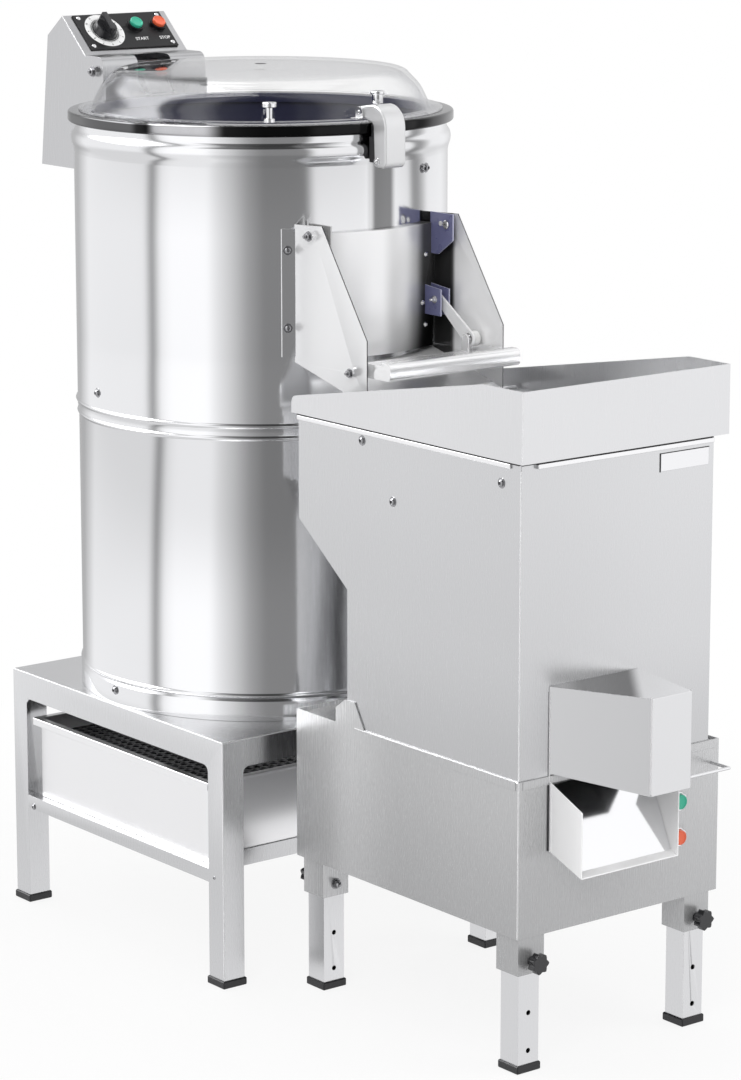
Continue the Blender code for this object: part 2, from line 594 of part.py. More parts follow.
# Colour, roughness and metallic value of each material
STEEL = ("brushed_steel", (0.72, 0.73, 0.74), 0.28, 1.0)
POLISHED = ("polished_steel", (0.80, 0.81, 0.82), 0.15, 1.0)
IRON = ("cast_iron", (0.22, 0.22, 0.23), 0.55, 0.9)
ALUMINIUM = ("aluminium", (0.66, 0.67, 0.68), 0.35, 1.0)
BLACK = ("black_plastic", (0.015, 0.015, 0.017), 0.35, 0.0)
RUBBER = ("black_rubber", (0.02, 0.02, 0.022), 0.30, 0.0)
CLEAR = ("clear_plastic", (0.90, 0.92, 0.93), 0.04, 0.0)
NAVY = ("abrasive_liner", (0.035, 0.035, 0.075), 0.55, 0.2)
ABRASIVE = ("abrasive_grit", (0.05, 0.05, 0.06), 0.9, 0.0)
GREEN = ("green_plastic", (0.02, 0.42, 0.20), 0.35, 0.0)
RED = ("red_plastic", (0.80, 0.12, 0.04), 0.35, 0.0)
WHITE = ("white_plastic", (0.85, 0.85, 0.84), 0.35, 0.0)


# Tools

def clear_scene():
    for old in list(bpy.data.objects):
        bpy.data.objects.remove(old)


def new_collection(name):
    group = bpy.data.collections.new(name)
    bpy.context.scene.collection.children.link(group)
    return group


def material(finish):
    name, colour, roughness, metallic = finish
    found = bpy.data.materials.get(name)
    if found:
        return found
    made = bpy.data.materials.new(name)
    made.use_nodes = True
    shader = made.node_tree.nodes["Principled BSDF"]
    shader.inputs["Base Color"].default_value = (*colour, 1.0)
    shader.inputs["Roughness"].default_value = roughness
    shader.inputs["Metallic"].default_value = metallic
    return made


def shape_from(bm):
    """A working shape from a bmesh, its faces pointing out."""
    bmesh.ops.recalc_face_normals(bm, faces=bm.faces)
    mesh = bpy.data.meshes.new("shape")
    bm.to_mesh(mesh)
    bm.free()
    thing = bpy.data.objects.new("shape", mesh)
    WORK.objects.link(thing)
    return thing


def settle(thing):
    """Turns a working shape with modifiers, or a curve, into a plain welded mesh."""
    graph = bpy.context.evaluated_depsgraph_get()
    mesh = bpy.data.meshes.new_from_object(thing.evaluated_get(graph))
    bm = bmesh.new()
    bm.from_mesh(mesh)
    bm.transform(thing.matrix_world)
    bmesh.ops.remove_doubles(bm, verts=bm.verts, dist=MERGE)
    bpy.data.objects.remove(thing)
    return shape_from(bm)


def box(x, y, z):
    """A block between pairs of coordinates."""
    bm = bmesh.new()
    bmesh.ops.create_cube(bm, size=1.0)
    size = Vector((x[1] - x[0], y[1] - y[0], z[1] - z[0]))
    middle = Vector((sum(x), sum(y), sum(z))) / 2
    bm.transform(Matrix.Translation(middle) @ Matrix.Diagonal((*size, 1.0)))
    return shape_from(bm)


def rod(start, end, radius, steps=SMALL_STEPS, end_radius=None):
    """A round bar, or a cone with end_radius, from one point to another."""
    start, end = Vector(start), Vector(end)
    along = end - start
    bm = bmesh.new()
    far_radius = radius if end_radius is None else end_radius
    bmesh.ops.create_cone(bm, cap_ends=True, segments=steps, radius1=radius,
                          radius2=far_radius, depth=along.length)
    turn = Vector((0, 0, 1)).rotation_difference(along).to_matrix().to_4x4()
    bm.transform(Matrix.Translation((start + end) / 2) @ turn)
    return shape_from(bm)


def screw(profile, closed, steps):
    mesh = bpy.data.meshes.new("profile")
    points = [(radius, 0, z) for radius, z in profile]
    edges = [(i, i + 1) for i in range(len(points) - 1)]
    if closed:
        edges.append((len(points) - 1, 0))
    mesh.from_pydata(points, edges, [])
    thing = bpy.data.objects.new("shape", mesh)
    WORK.objects.link(thing)
    turn = thing.modifiers.new("turn", "SCREW")
    turn.steps = turn.render_steps = steps
    turn.use_merge_vertices = True
    turn.merge_threshold = MERGE
    return thing


def turned(profile, steps=MEDIUM_STEPS, centre=(0, 0), closed=True):
    """A solid of revolution; the profile runs down its outer side."""
    thing = screw(profile, closed, steps)
    thing.location = (*centre, 0)
    bpy.context.view_layer.update()
    return settle(thing)


def turned_shell(profile, wall, steps=FINE_STEPS):
    """A sheet of revolution whose outer side is the profile, from top to bottom."""
    thing = screw(profile, False, steps)
    skin = thing.modifiers.new("wall", "SOLIDIFY")
    skin.thickness = wall
    skin.offset = -1
    skin.use_even_offset = True
    return settle(thing)


def ring(outer, inner, low, high, steps=MEDIUM_STEPS, centre=(0, 0)):
    return turned([(outer, high), (outer, low), (inner, low), (inner, high)], steps, centre)


def round_block(radius, low, high):
    """A solid cylinder on the drum's axis."""
    return turned([(0, high), (radius, high), (radius, low), (0, low)], FINE_STEPS, closed=False)


AXES = {
    "X": Matrix(((0, 0, 1, 0), (1, 0, 0, 0), (0, 1, 0, 0), (0, 0, 0, 1))),
    "Y": Matrix(((1, 0, 0, 0), (0, 0, -1, 0), (0, 1, 0, 0), (0, 0, 0, 1))),
    "Z": Matrix.Identity(4),
}


def prism(outline, low, high, along="X", holes=()):
    """A flat outline made solid between two places on an axis.

    The outline is (y, z) along X, (x, z) along Y and (x, y) along Z.
    """
    curve = bpy.data.curves.new("outline", "CURVE")
    curve.dimensions = "2D"
    curve.fill_mode = "BOTH"
    curve.extrude = (high - low) / 2
    for loop in (outline, *holes):
        spline = curve.splines.new("POLY")
        spline.points.add(len(loop) - 1)
        for point, (u, v) in zip(spline.points, loop):
            point.co = (u, v, 0, 1)
        spline.use_cyclic_u = True
    thing = bpy.data.objects.new("shape", curve)
    WORK.objects.link(thing)
    middle = (low + high) / 2
    place = {"X": (middle, 0, 0), "Y": (0, middle, 0), "Z": (0, 0, middle)}[along]
    thing.matrix_world = Matrix.Translation(place) @ AXES[along]
    bpy.context.view_layer.update()
    return settle(thing)


def arc(centre, radius, start, end, steps):
    """Points of an arc, its angles in degrees."""
    angles = [math.radians(start + (end - start) * i / steps) for i in range(steps + 1)]
    return [(centre[0] + radius * math.cos(a), centre[1] + radius * math.sin(a))
            for a in angles]


def circle(centre, radius, sides):
    return arc(centre, radius, 0, 360, sides)[:-1]


def inset(outline, distances):
    """An outline that runs clockwise or not, each edge moved in by its own distance."""
    count = len(outline)
    points = [Vector(point) for point in outline]
    area = sum(points[i - 1].cross(points[i]) for i in range(count))
    lines = []
    for i, distance in enumerate(distances):
        along = (points[(i + 1) % count] - points[i]).normalized()
        inward = Vector((-along.y, along.x)) * (1 if area > 0 else -1)
        lines.append((points[i] + inward * distance, along))
    moved = []
    for i, (start, along) in enumerate(lines):
        before, before_along = lines[i - 1]
        share = (start - before).cross(along) / before_along.cross(along)
        moved.append(tuple(before + before_along * share))
    return moved


def arc_around(centre, radius, start, end, steps):
    """An arc whose straight stretches stay outside the circle."""
    half_step = math.radians(end - start) / steps / 2
    return arc(centre, radius / math.cos(half_step), start, end, steps)


def combine(thing, others, operation):
    for other in others:
        change = thing.modifiers.new(operation, "BOOLEAN")
        change.operation = operation
        change.solver = "EXACT"
        change.object = other
        thing = settle(thing)
        bpy.data.objects.remove(other)
    return thing


def fuse(thing, *others):
    return combine(thing, others, "UNION")


def cut(thing, *others):
    return combine(thing, others, "DIFFERENCE")


def keep(thing, *others):
    return combine(thing, others, "INTERSECT")


def rounded(thing, width, segments=2):
    """Bevels the sharp edges of a working shape."""
    bevel = thing.modifiers.new("edges", "BEVEL")
    bevel.width = width
    bevel.segments = segments
    bevel.limit_method = "ANGLE"
    bevel.angle_limit = math.radians(BEVEL_ANGLE)
    return settle(thing)


def part(name, thing, finish, origin=(0, 0, 0), frame=None):
    """Names a finished shape as a piece of the machine, with its origin on its joint's axis."""
    mesh = thing.data.copy()
    bpy.data.objects.remove(thing)
    mesh.transform(Matrix.Translation(-Vector(origin)))
    mesh.name = name
    mesh.shade_smooth()
    mesh.set_sharp_from_angle(angle=math.radians(SMOOTH_ANGLE))
    mesh.materials.append(material(finish))
    made = bpy.data.objects.new(name, mesh)
    PARTS.objects.link(made)
    made.parent = frame or ROOT
    made.location = origin
    return made


def tube_box(x, y, z, wall):
    """A square tube standing along Z, open at both ends."""
    inner = box((x[0] + wall, x[1] - wall), (y[0] + wall, y[1] - wall),
                (z[0] - OVERRUN, z[1] + OVERRUN))
    return cut(box(x, y, z), inner)


# Stand and drawer

def stand_leg_places():
    half = STAND_TUBE / 2
    for x in (-STAND_HALF_WIDTH + half, STAND_HALF_WIDTH - half):
        for y in (STAND_FRONT_Y + half, STAND_REAR_Y - half):
            yield x, y


def make_stand():
    wide = (-STAND_HALF_WIDTH, STAND_HALF_WIDTH)
    deep = (STAND_FRONT_Y, STAND_REAR_Y)
    apron_bottom = STAND_HEIGHT - APRON_DEPTH
    frame = box(wide, deep, (apron_bottom, STAND_HEIGHT))
    under = box((wide[0] + SHEET, wide[1] - SHEET), (deep[0] + SHEET, deep[1] - SHEET),
                (apron_bottom - OVERRUN, STAND_HEIGHT - SHEET))
    frame = cut(frame, under)
    half = STAND_TUBE / 2
    sole = FOOT_SOLE + GAP
    for x, y in stand_leg_places():
        leg = box((x - half, x + half), (y - half, y + half), (sole, STAND_HEIGHT - BITE))
        frame = fuse(frame, leg)
    rail_z = (RAIL_BOTTOM, RAIL_TOP)
    for side in (-1, 1):
        x = sorted((side * STAND_HALF_WIDTH, side * (STAND_HALF_WIDTH - RAIL_WIDTH)))
        frame = fuse(frame, box(x, (deep[0] + STAND_TUBE - BITE, deep[1] - STAND_TUBE + BITE),
                                rail_z))
    runner_x = (wide[0] + RAIL_WIDTH - BITE, wide[1] - RAIL_WIDTH + BITE)
    for edge, side in ((DRAWER_LEFT_Y, -1), (DRAWER_RIGHT_Y, 1)):
        web = sorted((edge + side * 2 * GAP, edge + side * (2 * GAP + SHEET)))
        shelf = sorted((edge + side * (2 * GAP + BITE), edge - side * RUNNER_FLANGE))
        runner = fuse(box(runner_x, web, (RUNNER_WEB_BOTTOM, RUNNER_WEB_TOP)),
                      box(runner_x, shelf, (RAIL_TOP - SHEET, RAIL_TOP)))
        frame = fuse(frame, runner)
    bore = half - STAND_TUBE_WALL
    for x, y in stand_leg_places():
        frame = cut(frame, box((x - bore, x + bore), (y - bore, y + bore),
                               (-OVERRUN, STAND_HEIGHT - SHEET)))
    drain_hole = rod((DRAIN_X, 0, apron_bottom), (DRAIN_X, 0, STAND_HEIGHT + OVERRUN),
                     DRAIN_RADIUS + GAP, MEDIUM_STEPS)
    frame = cut(frame, drain_hole)
    part("stand_frame", frame, STEEL)


def make_foot(name, x, y, tube, origin=(0, 0, 0)):
    half = FOOT_SIZE / 2
    socket = tube / 2 + GAP
    foot = rounded(box((x - half, x + half), (y - half, y + half), (0, FOOT_HEIGHT)),
                   FOOT_BEVEL, 1)
    foot = cut(foot, box((x - socket, x + socket), (y - socket, y + socket),
                         (FOOT_SOLE, FOOT_HEIGHT + OVERRUN)))
    part(name, foot, RUBBER, origin)


def make_stand_feet():
    for number, (x, y) in enumerate(stand_leg_places(), 1):
        make_foot(f"stand_foot_{number}", x, y, STAND_TUBE)


def make_drawer():
    x = (DRAWER_FRONT_X, DRAWER_BACK_X)
    y = (DRAWER_LEFT_Y, DRAWER_RIGHT_Y)
    body = box(x, y, (DRAWER_BOTTOM, DRAWER_TOP))
    lip = box((x[0] - DRAWER_LIP, x[1]), (y[0] - DRAWER_LIP, y[1] + DRAWER_LIP),
              (DRAWER_TOP - DRAWER_LIP_THICKNESS, DRAWER_TOP))
    body = fuse(body, lip)
    inside = box((x[0] + SHEET, x[1] - SHEET), (y[0] + SHEET, y[1] - SHEET),
                 (DRAWER_BOTTOM + SHEET, DRAWER_TOP + OVERRUN))
    body = cut(body, inside)
    sieve_bottom = DRAWER_TOP - SIEVE_DROP
    for edge, side in ((y[0], 1), (y[1], -1)):
        ledge_y = sorted((edge + side * (SHEET - BITE), edge + side * (SHEET + SIEVE_LEDGE)))
        body = fuse(body, box((x[0] + SHEET - BITE, x[1] - SHEET + BITE), ledge_y,
                              (sieve_bottom - SHEET - GAP, sieve_bottom - GAP)))
    part("peel_drawer", body, STEEL)
    sieve_x = (x[0] + SHEET + GAP, x[1] - SHEET - GAP)
    sieve_y = (y[0] + SHEET + GAP, y[1] - SHEET - GAP)
    outline = [(sieve_x[0], sieve_y[0]), (sieve_x[1], sieve_y[0]),
               (sieve_x[1], sieve_y[1]), (sieve_x[0], sieve_y[1])]
    step_x = (sieve_x[1] - sieve_x[0]) / (SIEVE_HOLES_ALONG + 1)
    step_y = (sieve_y[1] - sieve_y[0]) / (SIEVE_HOLES_ACROSS + 1)
    holes = [circle((sieve_x[0] + step_x * (i + 1), sieve_y[0] + step_y * (j + 1)),
                    SIEVE_HOLE_RADIUS, SIEVE_HOLE_SIDES)
             for i in range(SIEVE_HOLES_ALONG) for j in range(SIEVE_HOLES_ACROSS)]
    sieve = prism(outline, sieve_bottom, sieve_bottom + SHEET, "Z", holes)
    part("drawer_sieve", sieve, POLISHED)


# Drum

def bead(radius, middle):
    """Three points of a raised bead, from top to bottom."""
    half = BEAD_LENGTH / 2
    return [(radius, middle + half), (radius + BEAD_HEIGHT, middle), (radius, middle - half)]


def make_lower_drum():
    ring_top = DRUM_BOTTOM + BASE_RING_HEIGHT
    profile = [(LOWER_DRUM_RADIUS, SEAM_Z - GAP)]
    profile += bead(LOWER_DRUM_RADIUS, SEAM_Z - BEAD_LENGTH)
    profile += bead(LOWER_DRUM_RADIUS, ring_top + BEAD_LENGTH / 2)[:2]
    profile += [(BASE_RING_RADIUS, ring_top), (BASE_RING_RADIUS, DRUM_BOTTOM)]
    part("lower_drum_shell", turned_shell(profile, DRUM_WALL), STEEL)


def window_cutter():
    return box((-WINDOW_HALF_WIDTH, WINDOW_HALF_WIDTH), (-DRUM_RADIUS - OVERRUN, 0),
               (WINDOW_BOTTOM, WINDOW_TOP))


def inlet_cutter():
    return rod((0, 0, INLET_Z), (0, DRUM_RADIUS + OVERRUN, INLET_Z), INLET_RADIUS + GAP)


def make_upper_drum():
    bead_top = DRUM_TOP - NECK_HEIGHT
    profile = [(NECK_RADIUS, DRUM_TOP), (NECK_RADIUS, bead_top),
               (DRUM_RADIUS + BEAD_HEIGHT, bead_top - BEAD_LENGTH),
               (DRUM_RADIUS + BEAD_HEIGHT, bead_top - 2 * BEAD_LENGTH),
               (DRUM_RADIUS, bead_top - TOP_BEAD_LENGTH)]
    profile += bead(DRUM_RADIUS, SEAM_Z + BEAD_LENGTH)
    profile += [(DRUM_RADIUS, SEAM_Z)]
    shell = turned_shell(profile, DRUM_WALL)
    shell = cut(shell, window_cutter(), inlet_cutter())
    keeper = box((-KEEPER_HALF_WIDTH, KEEPER_HALF_WIDTH),
                 (LATCH_INNER_Y + BITE, -DRUM_RADIUS + DRUM_WALL / 2),
                 (LATCH_BOTTOM - KEEPER_HEIGHT / 2, LATCH_BOTTOM + KEEPER_HEIGHT / 2))
    part("upper_drum_shell", fuse(shell, keeper), STEEL)


def make_seal():
    outer, inner, r = SEAL_RADIUS, SEAL_INNER_RADIUS, SEAL_ROUNDING
    profile = [(outer - r, SEAL_TOP), (outer, SEAL_TOP - r), (outer, SEAL_BOTTOM + r),
               (outer - r, SEAL_BOTTOM), (inner, SEAL_BOTTOM), (inner, SEAL_TOP)]
    part("rim_seal", turned(profile, FINE_STEPS), RUBBER)


def make_chamber():
    outer = DRUM_INNER_RADIUS - GAP
    liner = ring(outer, outer - LINER_THICKNESS, FLOOR_TOP + GAP, LINER_TOP, FINE_STEPS)
    liner = cut(liner, window_cutter(), inlet_cutter())
    part("abrasive_liner", liner, NAVY)

    bore = SHAFT_RADIUS + GAP
    profile = [(outer, FLOOR_TOP), (outer, FLOOR_BOTTOM), (BEARING_RADIUS, FLOOR_BOTTOM),
               (BEARING_RADIUS, FLOOR_TOP - BEARING_LENGTH), (bore, FLOOR_TOP - BEARING_LENGTH),
               (bore, FLOOR_TOP)]
    floor = turned(profile, FINE_STEPS)
    drain = rod((DRAIN_X, 0, FLOOR_BOTTOM - OVERRUN), (DRAIN_X, 0, FLOOR_TOP + OVERRUN),
                DRAIN_RADIUS - DRAIN_WALL, MEDIUM_STEPS)
    part("chamber_floor", cut(floor, drain), IRON)


def make_disc():
    top = DISC_BOTTOM + DISC_THICKNESS
    hub_bottom = DISC_BOTTOM - DISC_HUB_HEIGHT
    bore = SHAFT_RADIUS + GAP
    bore_top = top - DISC_DISH - SHEET
    profile = [(0, top - DISC_DISH), (DISC_RADIUS - DISC_THICKNESS, top), (DISC_RADIUS, top),
               (DISC_RADIUS, DISC_BOTTOM), (DISC_HUB_RADIUS, DISC_BOTTOM),
               (DISC_HUB_RADIUS, hub_bottom), (bore, hub_bottom), (bore, bore_top),
               (0, bore_top)]
    disc = turned(profile, MEDIUM_STEPS, closed=False)
    reach = DISC_RADIUS - DISC_THICKNESS
    for number in range(DISC_RIB_COUNT):
        rib = box((DISC_HUB_RADIUS, reach), (-DISC_RIB_WIDTH / 2, DISC_RIB_WIDTH / 2),
                  (DISC_BOTTOM + DISC_DISH, top + DISC_RIB_HEIGHT))
        rib.data.transform(Matrix.Rotation(math.tau * (number + 0.5) / DISC_RIB_COUNT, 4, "Z"))
        disc = fuse(disc, rib)
    part("peeling_disc", disc, ABRASIVE)
    shaft = rod((0, 0, SHAFT_BOTTOM), (0, 0, bore_top - GAP), SHAFT_RADIUS)
    part("disc_shaft", shaft, POLISHED)


def pulley(radius, bore, centre):
    rim = PULLEY_RIM
    low, high = PULLEY_BOTTOM, PULLEY_TOP
    profile = [(radius, high), (radius, high - rim), (radius - rim, high - rim),
               (radius - rim, low + rim), (radius, low + rim), (radius, low), (bore, low),
               (bore, high)]
    return turned(profile, MEDIUM_STEPS, centre)


def belt_loop(growth):
    """The belt's outline round both pulleys, this far out from its inner side."""
    large = DRIVEN_PULLEY_RADIUS - PULLEY_RIM + GAP + growth
    small = MOTOR_PULLEY_RADIUS - PULLEY_RIM + GAP + growth
    lean = math.degrees(math.asin((large - small) / MOTOR_OFFSET_Y))
    return (arc_around((0, 0), large, 180 - lean, 360 + lean, BELT_LARGE_STEPS)
            + arc_around((0, MOTOR_OFFSET_Y), small, lean, 180 - lean, BELT_SMALL_STEPS))


def make_drive():
    centre = (0, MOTOR_OFFSET_Y)
    part("driven_pulley", pulley(DRIVEN_PULLEY_RADIUS, SHAFT_RADIUS + GAP, (0, 0)), IRON)
    part("motor_pulley", pulley(MOTOR_PULLEY_RADIUS, MOTOR_SHAFT_RADIUS + GAP, centre), IRON,
         (*centre, PULLEY_BOTTOM))
    band = PULLEY_RIM + BELT_SIDE_GAP
    belt = prism(belt_loop(BELT_THICKNESS), PULLEY_BOTTOM + band, PULLEY_TOP - band, "Z",
                 [belt_loop(0)])
    part("drive_belt", belt, RUBBER)

    low = DRUM_BOTTOM
    flange_top = low + MOTOR_FLANGE_HEIGHT
    top = low + MOTOR_HEIGHT
    profile = [(0, PULLEY_TOP), (MOTOR_SHAFT_RADIUS, PULLEY_TOP), (MOTOR_SHAFT_RADIUS, top),
               (MOTOR_RADIUS, top), (MOTOR_RADIUS, flange_top), (MOTOR_FLANGE_RADIUS, flange_top),
               (MOTOR_FLANGE_RADIUS, low), (0, low)]
    part("peeler_motor", turned(profile, MEDIUM_STEPS, centre, closed=False), ALUMINIUM)


def make_water():
    top = FLOOR_BOTTOM - GAP
    inner = DRAIN_RADIUS - DRAIN_WALL
    wide = DRAIN_RADIUS + DRAIN_FLANGE
    profile = [(wide, top), (wide, top - DRAIN_WALL), (DRAIN_RADIUS, top - DRAIN_WALL),
               (DRAIN_RADIUS, DRAIN_END), (inner, DRAIN_END), (inner, top)]
    part("drain_pipe", turned(profile, MEDIUM_STEPS, (DRAIN_X, 0)), POLISHED)

    start = DRUM_INNER_RADIUS - GAP - LINER_THICKNESS
    face = DRUM_RADIUS + GAP
    inlet = rod((0, start, INLET_Z), (0, start + INLET_REACH, INLET_Z), INLET_RADIUS)
    inlet = fuse(inlet, rod((0, face, INLET_Z), (0, face + INLET_FLANGE_THICKNESS, INLET_Z),
                            INLET_FLANGE_RADIUS))
    inlet = cut(inlet, rod((0, start - OVERRUN, INLET_Z),
                           (0, start + INLET_REACH + OVERRUN, INLET_Z), INLET_BORE))
    part("water_inlet", inlet, POLISHED)


# Lid, hinge and latch

def make_lid():
    rise = LID_TOP_Z - LID_FLANGE_TOP
    spread = LID_BASE_RADIUS - LID_SHOULDER_RADIUS
    profile = [(LID_VENT_RADIUS, LID_TOP_Z)]
    profile += [(LID_SHOULDER_RADIUS * out, LID_FLANGE_TOP + rise * up)
                for out, up in LID_CROWN_SHARES]
    profile += [(LID_SHOULDER_RADIUS + spread * out, LID_FLANGE_TOP + rise * up)
                for out, up in LID_FLANK_SHARES]
    profile += [(LID_BASE_RADIUS, LID_FLANGE_TOP), (LID_FLANGE_RADIUS, LID_FLANGE_TOP)]
    lid = turned_shell(profile, LID_WALL, LID_STEPS)
    top = LID_FLANGE_TOP + STUD_HEIGHT
    stud = rod((STUD_X, STUD_Y, LID_FLANGE_TOP - BITE), (STUD_X, STUD_Y, top), STUD_RADIUS,
               TINY_STEPS)
    head = rod((STUD_X, STUD_Y, top - STUD_HEAD_HEIGHT), (STUD_X, STUD_Y, top + BITE),
               STUD_HEAD_RADIUS, TINY_STEPS)
    part("lid_dome", fuse(lid, fuse(stud, head)), CLEAR, (0, HINGE_Y, HINGE_Z))


def make_lid_hinge():
    hinge = (0, HINGE_Y, HINGE_Z)
    pad_bottom = LID_FLANGE_TOP + GAP
    pad_top = pad_bottom + HINGE_PAD_THICKNESS
    pad_rear = LID_FLANGE_RADIUS
    reach = HINGE_KNUCKLE_RADIUS
    outline = arc((HINGE_Y, HINGE_Z), reach, *HINGE_KNUCKLE_ARC, TINY_STEPS)
    outline += [(HINGE_Y - reach, HINGE_Z), (pad_rear - HINGE_ARM_DEPTH, pad_top),
                (HINGE_PAD_FRONT_Y, pad_top), (HINGE_PAD_FRONT_Y, pad_bottom),
                (pad_rear, pad_bottom)]
    wide = HINGE_ARM_HALF_WIDTH
    arm = prism(outline, -wide, wide)
    bore = rod((-wide - OVERRUN, HINGE_Y, HINGE_Z), (wide + OVERRUN, HINGE_Y, HINGE_Z),
               HINGE_PIN_RADIUS + GAP)
    dome = round_block(LID_BASE_RADIUS + GAP, pad_bottom - OVERRUN, HINGE_Z + OVERRUN)
    part("lid_hinge_arm", cut(arm, bore, dome), BLACK, hinge)

    end = BOX_HALF_WIDTH + GAP
    pin = rod((-end - BITE, HINGE_Y, HINGE_Z), (end + BITE, HINGE_Y, HINGE_Z), HINGE_PIN_RADIUS)
    for side in (-1, 1):
        tip = side * (end + HINGE_PIN_HEAD)
        pin = fuse(pin, rod((side * end, HINGE_Y, HINGE_Z), (tip, HINGE_Y, HINGE_Z),
                            HINGE_PIN_HEAD_RADIUS, NUT_SIDES))
    part("lid_hinge_pin", pin, POLISHED, hinge)


def latch_outline():
    """Side view of the latch: a leg outside the rim, an arch over it, a knuckle inside it."""
    outer_radius = (LATCH_CREST_Z - LATCH_PIVOT_Z) + LATCH_THICKNESS
    crest_y = LATCH_OUTER_Y + outer_radius
    inner_radius = crest_y - LATCH_INNER_Y
    bend_z = LATCH_CREST_Z - outer_radius
    under = LATCH_CREST_Z - LATCH_THICKNESS
    outline = [(LATCH_INNER_Y, LATCH_BOTTOM), (LATCH_OUTER_Y, LATCH_BOTTOM)]
    outline += arc((crest_y, bend_z), outer_radius, 180, 90, TINY_STEPS)
    outline += arc((LATCH_PIVOT_Y, LATCH_PIVOT_Z), LATCH_KNUCKLE_RADIUS, *LATCH_KNUCKLE_ARC,
                   TINY_STEPS)
    outline += [(crest_y, under), (LATCH_INNER_Y, under - inner_radius)]
    return outline


def make_latch():
    pivot = (0, LATCH_PIVOT_Y, LATCH_PIVOT_Z)
    wide = LATCH_HALF_WIDTH
    arch = prism(latch_outline(), -wide, wide)
    bore = rod((-wide - OVERRUN, *pivot[1:]), (wide + OVERRUN, *pivot[1:]),
               LATCH_PIN_RADIUS + GAP)
    knob_top = (0, LATCH_KNOB_Y, LATCH_CREST_Z + LATCH_KNOB_HEIGHT)
    seat = (0, LATCH_KNOB_Y, LATCH_CREST_Z + GAP)
    screw_end = (0, LATCH_KNOB_Y, LATCH_CREST_Z - LATCH_SCREW_LENGTH)
    screw_hole = rod((*screw_end[:2], screw_end[2] - GAP), knob_top, LATCH_SCREW_RADIUS + GAP)
    part("latch_arch", cut(arch, bore, screw_hole), ALUMINIUM, pivot)

    knob = rod(screw_end, (*seat[:2], seat[2] + BITE), LATCH_SCREW_RADIUS, TINY_STEPS)
    knob = fuse(knob, rod(seat, knob_top, LATCH_KNOB_STEM_RADIUS))
    head_low = (*knob_top[:2], knob_top[2] - LATCH_KNOB_HEAD_HEIGHT)
    knob = fuse(knob, rod(head_low, (*knob_top[:2], knob_top[2] + BITE), LATCH_KNOB_HEAD_RADIUS))
    part("latch_knob", knob, POLISHED, (0, LATCH_KNOB_Y, LATCH_CREST_Z))

    foot = LID_FLANGE_TOP + GAP
    near, far = wide + GAP, wide + GAP + LATCH_EAR_THICKNESS
    ear = LATCH_KNUCKLE_RADIUS - BITE
    bracket = rod((-far, *pivot[1:]), (far, *pivot[1:]), LATCH_PIN_RADIUS)
    for side in (-1, 1):
        x = sorted((side * near, side * far))
        outline = arc(pivot[1:], ear, 0, 180, TINY_STEPS)
        outline += [(pivot[1] - ear, foot), (pivot[1] + ear, foot)]
        plate = prism(outline, x[0], x[1])
        base_x = sorted((side * near, side * (far + LATCH_EAR_FOOT)))
        base = box(base_x, (pivot[1] - ear + BITE, pivot[1] + ear - BITE),
                   (foot, foot + LATCH_EAR_THICKNESS))
        bracket = fuse(bracket, fuse(plate, base))
    dome = round_block(LID_BASE_RADIUS + GAP, foot - OVERRUN, LATCH_CREST_Z)
    part("latch_bracket", cut(bracket, dome), POLISHED, (0, HINGE_Y, HINGE_Z))


# Control box

def box_outline():
    """Side view of the control box; the front runs into the drum, which is cut away later."""
    r = NOSE_ROUNDING
    outline = [(BOX_CUT_Y, BOX_BOTTOM), (BOX_REAR_Y, BOX_BOTTOM), (BOX_REAR_TOP_Y, BOX_REAR_TOP_Z),
               (PANEL_TOP_Y, PANEL_TOP_Z), (PANEL_BOTTOM_Y, PANEL_BOTTOM_Z)]
    outline += arc((NOSE_FRONT_Y + r, PANEL_BOTTOM_Z - r), r, 90, 180, NOSE_STEPS)
    outline += [(NOSE_FRONT_Y, NOSE_BOTTOM_Z), (BOX_CUT_Y, NOSE_BOTTOM_Z)]
    return outline


def panel_frame():
    """An empty at the foot of the sloping panel, its Y up the slope and its Z out of it."""
    frame = bpy.data.objects.new("panel_frame", None)
    PARTS.objects.link(frame)
    frame.parent = ROOT
    frame.location = (0, PANEL_BOTTOM_Y, PANEL_BOTTOM_Z)
    frame.rotation_euler = (PANEL_SLOPE, 0, 0)
    return frame


def on_panel(thing):
    """Moves a shape from the panel's frame to the machine's."""
    place = Matrix.Translation((0, PANEL_BOTTOM_Y, PANEL_BOTTOM_Z))
    thing.data.transform(place @ Matrix.Rotation(PANEL_SLOPE, 4, "X"))
    return thing


